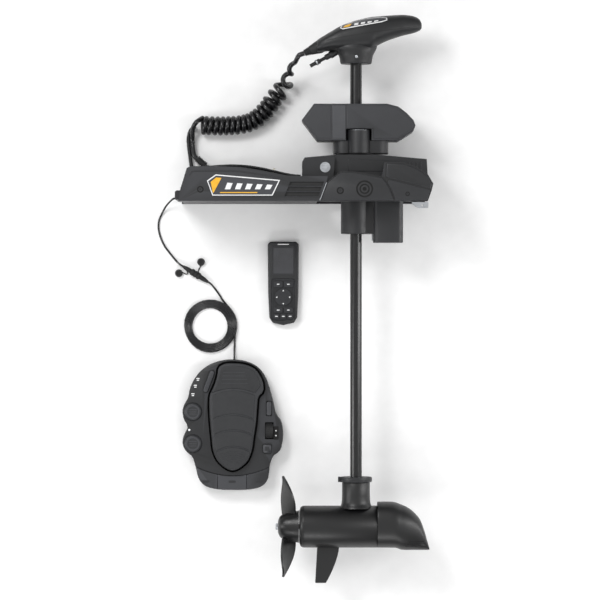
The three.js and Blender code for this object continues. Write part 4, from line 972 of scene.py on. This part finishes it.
def pod():
    """The painted castings: housing, end bell, sonar nose with its slits, neck and skeg."""
    tube = lathe("motor_housing", [(-127.8, 47), (-127.8, 50.6), (-127, 51.3), (51.8, 51.3), (52.9, 50.4),
                                   (52.9, 47), (-127.8, 47)], TO_BOW, POD_CENTRE, "casting", 128)
    give(tube, "shaft_assembly", "cast_paint", "motor_shell")
    bell = lathe("end_bell", [(-139, 7.2), (-139, 39), (-138, 40.5), (-136, 47), (-134.5, 48.6), (-130, 50.8),
                              (-128.4, 51.1), (-128.4, 7.2), (-139, 7.2)], TO_BOW, POD_CENTRE, "casting", 128)
    give(bell, "shaft_assembly", "cast_paint", "aft_bell")
    seal = lathe("bell_seal", plain_ring(-128.6, -127.6, 46, 50.3),
                 TO_BOW, POD_CENTRE, "rubber", 128)
    give(seal, "shaft_assembly", "soft_rubber")
    y = (POD_Y - DECK_Y) / MM
    sections = [(53.3, y - 51, y + 60, 52), (55, y - 51.3, y + 61, 53), (85, y - 51.3, y + 61, 53),
                (98, y - 52, y + 59, 52), (110, y - 56, y + 54.5, 49), (122, y - 57, y + 49.5, 45.5),
                (134, y - 57, y + 42, 41), (146, y - 57, y + 31, 35.5), (157, y - 57, y + 17, 30),
                (165, y - 57, y - 3, 27), (171, y - 57, y - 22, 24), (176, y - 57, y - 40, 20),
                (179, y - 56.5, y - 50, 16)]
    nose = loft("nose_shell", sections, "casting", 64, NOSE_SQUARENESS)
    fine = smooth_sections(sections, 5)
    give(nose, "shaft_assembly", "cast_paint", "nose_casting")
    for i in range(3):
        low = y - 36 - 5.5 * i
        for name, side in (("near", 1), ("far", -1)):
            start = 128 - 4 * i
            outline = [(start, low), (166 + 3 * i, low), (166 + 3 * i, low + 1.8), (start, low + 1.8)]
            give(nose_slit(f"sonar_slit_{name}_{i + 1}", outline, fine, side, "shade_and_badge_black"),
                 "shaft_assembly", "soft_rubber")
    profile = [(-742.5, 14.7), (-748, 41), (-745, 40), (-742, 38), (-739, 36.4), (-735, 35.3), (-728, 34.6),
               (-716, 34.2), (-686, 34), (-684, 33), (-684, 14.7)]
    neck = lathe("neck_flare", profile, TO_HEAD, at(0, 0, MID), "casting", 96)
    give(neck, "shaft_assembly", "cast_paint", "neck_casting")
    refine("clamp_collar", "nylon", 1.2, "shaft_assembly", "dark_plastic")
    clamp = lathe("clamp_band", [(-682, 37.9), (-682, 39), (-680, 39.2), (-675, 39.2), (-673, 39),
                                 (-673, 37.9), (-682, 37.9)], TO_HEAD, at(0, 0, MID), "nylon", 96)
    give(clamp, "shaft_assembly", "dark_plastic")
    skeg()


def nose_slit(name, outline, sections, side, finish):
    """A matt black strip laid on the sonar nose where it has a slit: painted shade inside the slit."""
    bm = bmesh.new()
    bm.faces.new([bm.verts.new((x, y, 0)) for x, y in outline])
    long_edges = [e for e in bm.edges if abs(e.verts[0].co.x - e.verts[1].co.x) > 5]
    bmesh.ops.subdivide_edges(bm, edges=long_edges, cuts=10, use_grid_fill=True)
    return walled(laid(name, bm, sections, NOSE_SQUARENESS, side, finish), 0.3, -1.0)


def skeg():
    """A swept fin of even thickness with rounded edges."""
    y = (POD_Y - DECK_Y) / MM
    bm = bmesh.new()
    bmesh.ops.create_grid(bm, x_segments=8, y_segments=8, size=0.5)
    for vert in bm.verts:
        across, down = vert.co.x + 0.5, 0.5 - vert.co.y
        lead = -41 - 3 * down - 29.5 * down ** 1.6
        trail = -95 - 5 * down
        vert.co = at(trail + (lead - trail) * across, y - 49 - 89 * down, MID)
    fin = shown("skeg_fin", bm, "casting")
    rounded(walled(fin, 7), 2.4, 4)
    give(fin, "shaft_assembly", "cast_paint", "skeg")


def propeller():
    """The hub with its nut, and two swept blades whose pitch flattens towards the tip."""
    profile = [(-191, 0.01), (-191, 13), (-190, 17), (-187, 24), (-183, 28), (-178, 30.6), (-170, 33),
               (-150, 37.5), (-141, 39.6), (-139.6, 40), (-139.6, 7.2), (-150, 7.2), (-150, 0.01)]
    hub = lathe("prop_hub", profile, TO_BOW, POD_CENTRE, "prop", 96)
    give(hub, "prop", "prop_plastic", "propeller")
    nut = lathe("prop_nut", [(-197, 0.01), (-197, 6), (-196, 9), (-190.5, 9), (-190.5, 0.01)], TO_BOW,
                POD_CENTRE, "steel", 6)
    give(nut, "prop", "steel")
    for index in range(2):
        bm = bmesh.new()
        bmesh.ops.create_grid(bm, x_segments=14, y_segments=20, size=0.5)
        for vert in bm.verts:
            chord, span = vert.co.x * 2, vert.co.y + 0.5
            radius = 28 + 96 * span
            width = 22 + 7 * math.sin(math.pi * min(1, span * 1.15)) - 15 * span ** 5
            pitch = math.radians(44 - 30 * span)
            across = chord * width + 5 * span * span
            camber = 3 * (1 - chord * chord)
            x = -164 + across * math.sin(pitch) - camber * math.cos(pitch) - 13 * span ** 1.5
            z = across * math.cos(pitch) + camber * math.sin(pitch)
            round_tip = 1 - 0.045 * chord * chord * span ** 4
            vert.co = Vector((x * MM, radius * round_tip * MM, z * MM))
        turn = Matrix.Rotation(math.pi * index, 4, "X")
        bmesh.ops.transform(bm, matrix=Matrix.Translation(POD_CENTRE) @ turn, verts=bm.verts)
        blade = shown(f"prop_blade_{index + 1}", bm, "prop")
        rounded(walled(blade, 4.6), 1.9, 3)
        give(blade, "prop", "prop_plastic")


# ---- Foot pedal ----
PEDAL_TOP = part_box("pedal_housing")[1].z / MM
TREADLE_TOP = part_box("pedal_treadle")[1].z / MM
BUTTON_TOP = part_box("anchor_button")[1].z / MM
PAD_X = -302
PAD_HALVES = [(-450, 53), (-520, 51), (-580, 47), (-612, 41), (-632, 33), (-646, 22), (-658, 8)]


def foot_pedal():
    """The pedal's housing, treadle and controls."""
    refine("pedal_housing", "cover", 4.5, "base", "pedal_plastic", 4)
    refine("pedal_base", "rubber", 1.0, "base", "soft_rubber", 2)
    refine("pedal_treadle", "treadle", 4.5, "treadle", "treadle_plastic", 4)
    names = ("prop_button_upper", "prop_button_lower", "momentary_button", "anchor_button", "row_button_left",
             "row_button_middle", "row_button_right")
    for name in names:
        refine(name, "charcoal", 1.6, name, "button_plastic")
    refine("mode_rocker", "charcoal", 1.6, "rocker", "button_plastic")
    treadle_ribs()
    pedal_marks()
    thumb_wheel()


def treadle_half(y):
    """Half the width of the treadle's pad at y, a few millimetres inside its edge."""
    for (y0, half0), (y1, half1) in zip(PAD_HALVES, PAD_HALVES[1:]):
        if y1 <= y <= y0:
            return half0 + (half1 - half0) * (y0 - y) / (y0 - y1)
    return PAD_HALVES[-1][1]


def pad_arc(y, half, rise):
    """Points across the pad on a shallow arc, from its left to its right end."""
    count = 18
    shares = [2 * i / count - 1 for i in range(count + 1)]
    return [(PAD_X + half * share, y - rise * share * share) for share in shares]


def treadle_ribs():
    """The toe pad, the four grip panels between curved grooves, and fine ribs on the last one."""
    toe_top = [(-234, -449), (-240, -430), (-251, -414), (-271, -404), (-300, -400.5), (-324, -402),
               (-333, -409), (-336, -426), (-346, -456)]
    toe = pad_arc(-457, 54, 11) + toe_top
    give(rounded(plate("toe_pad", toe, TREADLE_TOP - 0.5, TREADLE_TOP + 2.6, "treadle", 1.6, 4),
                 0.4, 1), "treadle", "treadle_plastic")
    edges = [-460, -521.5, -560.5, -601, -654]
    for i, (upper, lower) in enumerate(zip(edges, edges[1:])):
        top = pad_arc(upper - 2, treadle_half(upper - 8), 12)
        last = i == len(edges) - 2
        low = pad_arc(lower, 12, 2) if last else pad_arc(lower + 2, treadle_half(lower - 8), 12)
        flank_y = (-628, -640, -648) if last else ()
        right = [(PAD_X + treadle_half(y), y) for y in flank_y]
        left = [(PAD_X - treadle_half(y), y) for y in flank_y]
        outline = top + right + low[::-1] + left[::-1]
        give(plate(f"grip_panel_{i + 1}", outline, TREADLE_TOP - 0.5, TREADLE_TOP + 2.4,
                   "treadle", 1.2, 3), "treadle", "treadle_plastic")
    for i in range(6):
        y = -612 - 5 * i
        half = treadle_half(y - 8) - 6
        rib = pad_arc(y, half, 7) + pad_arc(y - 1.6, half, 7)[::-1]
        give(plate(f"grip_rib_{i + 1}", rib, TREADLE_TOP + 2, TREADLE_TOP + 3.2, "treadle", 0.5),
             "treadle", "treadle_plastic")
    for i in range(4):
        y = -417 - 9 * i
        bar = box_outline(-327 - 1.5 * i, -273 + 3 * i, y - 1.6, y + 1.6, 1.5)
        give(plate(f"toe_rib_{i + 1}", bar, TREADLE_TOP + 2.2, TREADLE_TOP + 3.4, "treadle", 0.6),
             "treadle", "treadle_plastic")


def pedal_marks():
    """Small plain marks beside the controls, the lamp, and the relief on the buttons."""
    for i, (x, y) in enumerate([(-389.5, -437), (-396, -454), (-402, -475)]):
        for k in range(2):
            bar = box_outline(x - 3 - k, x + 3 + k, y - 1.2 + 4.4 * k, y + 1.2 + 4.4 * k, 0.9)
            give(plate(f"pedal_mark_{i + 1}_{k + 1}", bar, PEDAL_TOP - 0.1, PEDAL_TOP + 0.3,
                       "white", 0.1), "base", None)
    lamp = lathe("pedal_lamp", [(-0.5, 0.01), (-0.5, 2.8), (0.8, 2.6), (1.6, 1.6), (1.8, 0.01)], UP,
                 at(-411, -560, PEDAL_TOP - 0.4), "lamp", 32)
    give(lamp, "base", None)
    for name, y in (("upper", -515), ("lower", -594)):
        node = f"prop_button_{name}"
        cup = lathe(f"{node}_dish", [(0, 13), (0, 17.6), (1.1, 17), (1.1, 13.6), (0, 13)], UP,
                    at(-402, y, BUTTON_TOP - 0.1), "charcoal", 64)
        give(cup, node, "button_plastic")
        for i in range(3):
            bar = box_outline(-412, -392, y - 6.6 + 5.4 * i, y - 4.4 + 5.4 * i, 1)
            give(plate(f"{node}_grip_{i + 1}", bar, BUTTON_TOP - 0.1, BUTTON_TOP + 1.0,
                       "charcoal", 0.5), node, "button_plastic")
    for name, x in (("left", -371), ("middle", -305), ("right", -237)):
        mark = box_outline(x - 9, x + 9, -691, -685, 2.6)
        give(plate(f"row_relief_{name}", mark, BUTTON_TOP - 2.1, BUTTON_TOP - 1.2, "nylon", 0.4),
             f"row_button_{name}", "button_plastic")
    mark = box_outline(-223.5, -213.5, -611.5, -601.5, 1.6)
    give(plate("anchor_relief", mark, BUTTON_TOP - 0.1, BUTTON_TOP + 0.7, "nylon", 0.3),
         "anchor_button", "button_plastic")
    for i in range(9):
        share = (i + 0.5) / 9
        x, y = -370.5 + 16 * share, -461 + 42 * share
        bar = [(x - 4.2, y + 0.8), (x + 3.6, y - 2.2), (x + 4.2, y - 0.8), (x - 3.6, y + 2.2)]
        give(plate(f"momentary_rib_{i + 1}", bar, BUTTON_TOP - 0.1, BUTTON_TOP + 0.9, "charcoal",
                   0.4), "momentary_button", "button_plastic")
    # A matt black plate over the wheel's opening: painted shade in the opening.
    window = box_outline(-203, -190, -584, -551, 3)
    give(plate("speed_window", window, PEDAL_TOP - 0.1, PEDAL_TOP + 1.0, "shade_and_badge_black", 0.4), "base",
         "soft_rubber")
    for i, y in enumerate((-574, -562)):
        dot = lathe(f"speed_mark_{i + 1}", [(0, 0.01), (0, 1.8), (0.4, 1.6), (0.4, 0.01)], UP,
                    at(-196.5, y, PEDAL_TOP + 0.9), "white", 24)
        give(dot, "base", None)


def thumb_wheel():
    """A knurled wheel: ridges every 12 degrees round its rim."""
    low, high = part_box("speed_wheel")
    middle = (low + high) / 2
    half = (high.x - low.x) / 2 / MM
    radius = (high.z - low.z) / 2 / MM
    body = lathe("wheel_body", [(-half, 0.01), (-half, radius - 3), (-half + 2, radius - 1.2),
                                (half - 2, radius - 1.2), (half, radius - 3), (half, 0.01)], TO_BOW, middle,
                 "rubber", 60)
    give(body, "wheel", "soft_rubber", "speed_wheel")
    bm = bmesh.new()
    for i in range(30):
        size = Matrix.Diagonal(((2 * half - 4) * MM, 1.6 * MM, 2.4 * MM, 1))
        place = Matrix.Rotation(math.tau * i / 30, 4, "X") @ Matrix.Translation((0, 0, (radius - 1.2) * MM))
        bmesh.ops.create_cube(bm, size=1, matrix=Matrix.Translation(middle) @ place @ size)
    ridges = rounded(shown("wheel_ridges", bm, "rubber"), 0.4, 2)
    give(ridges, "wheel", "soft_rubber")


# ---- Remote ----
def remote():
    """The hand remote: case, keypad, screen and plain key marks."""
    refine("remote_case", "cover", 4.0, "base", "remote_plastic", 4)
    refine("remote_keypad", "silicone", 1.0, "base", "keypad_silicone", 2)
    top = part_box("remote_case")[1].z / MM
    middle = -178.5
    rim = box_outline(middle - 28, middle + 28, -178, -104, 5)
    give(plate("screen_bezel", rim, top - 0.3, top + 0.5, "nylon", 0.4), "base", "dark_plastic")
    glass = box_outline(middle - 24.5, middle + 24.5, -173, -109.5, 2.5)
    give(plate("screen_glass", glass, top + 0.3, top + 0.8, "glass", 0.2), "base", None)
    bar = box_outline(middle - 14, middle + 14, -101.6, -99.4, 1)
    give(plate("remote_mark", bar, top - 0.1, top + 0.3, "white", 0.1), "base", None)
    key_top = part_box("remote_keypad")[1].z / MM
    ring = lathe("pad_ring", [(0, 10.6), (0, 12), (0.5, 11.8), (0.5, 10.8), (0, 10.6)], UP,
                 at(middle, -231.5, key_top - 0.1), "nylon", 48)
    give(ring, "base", "dark_plastic")
    for i, (dx, dy) in enumerate([(0, 16), (0, -16), (16, 0), (-16, 0)]):
        turn = math.degrees(math.atan2(dy, dx))
        arrow = arc(middle + dx, -231.5 + dy, 2.6, turn, turn + 240, 2)
        give(plate(f"arrow_{i + 1}", arrow, key_top - 0.1, key_top + 0.3, "white", 0.05), "base",
             None)
    rows = [(-199.5, 2), (-263.5, 2), (-279, 3)]
    width = 77 - 26
    for r, (y, count) in enumerate(rows):
        for i in range(count):
            x = -217 + 13 + width * (i + 0.5) / count
            mark = box_outline(x - 3.4, x + 3.4, y - 1.1, y + 1.1, 0.9)
            give(plate(f"key_mark_{r + 1}_{i + 1}", mark, key_top - 0.1, key_top + 0.25, "white",
                       0.05), "base", None)


# ---- Nodes that keep their CAD shape ----
def carried_nodes():
    """Finishes for the nodes that keep their CAD shape."""
    kept = {"steering_gear": "gear", "steering_pinion": "steel", "steering_motor": "steel",
            "trim_motor": "steel", "trim_roller_bow": "rubber", "trim_roller_aft": "rubber",
            "tilt_bolt": "steel", "head_board": "board", "stator_magnets": "ferrite", "armature": "copper"}
    for node, finish in kept.items():
        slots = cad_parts[node].data.materials
        slots.clear()
        slots.append(FINISHES[finish])


make_camera()
make_light()
make_floor()
head_cord()
deck_cables()
pedal_cord()
relief_sleeve()
control_head()
shaft_and_collar()
trim_module()
base()
carriage()
pod()
propeller()
foot_pedal()
remote()
carried_nodes()
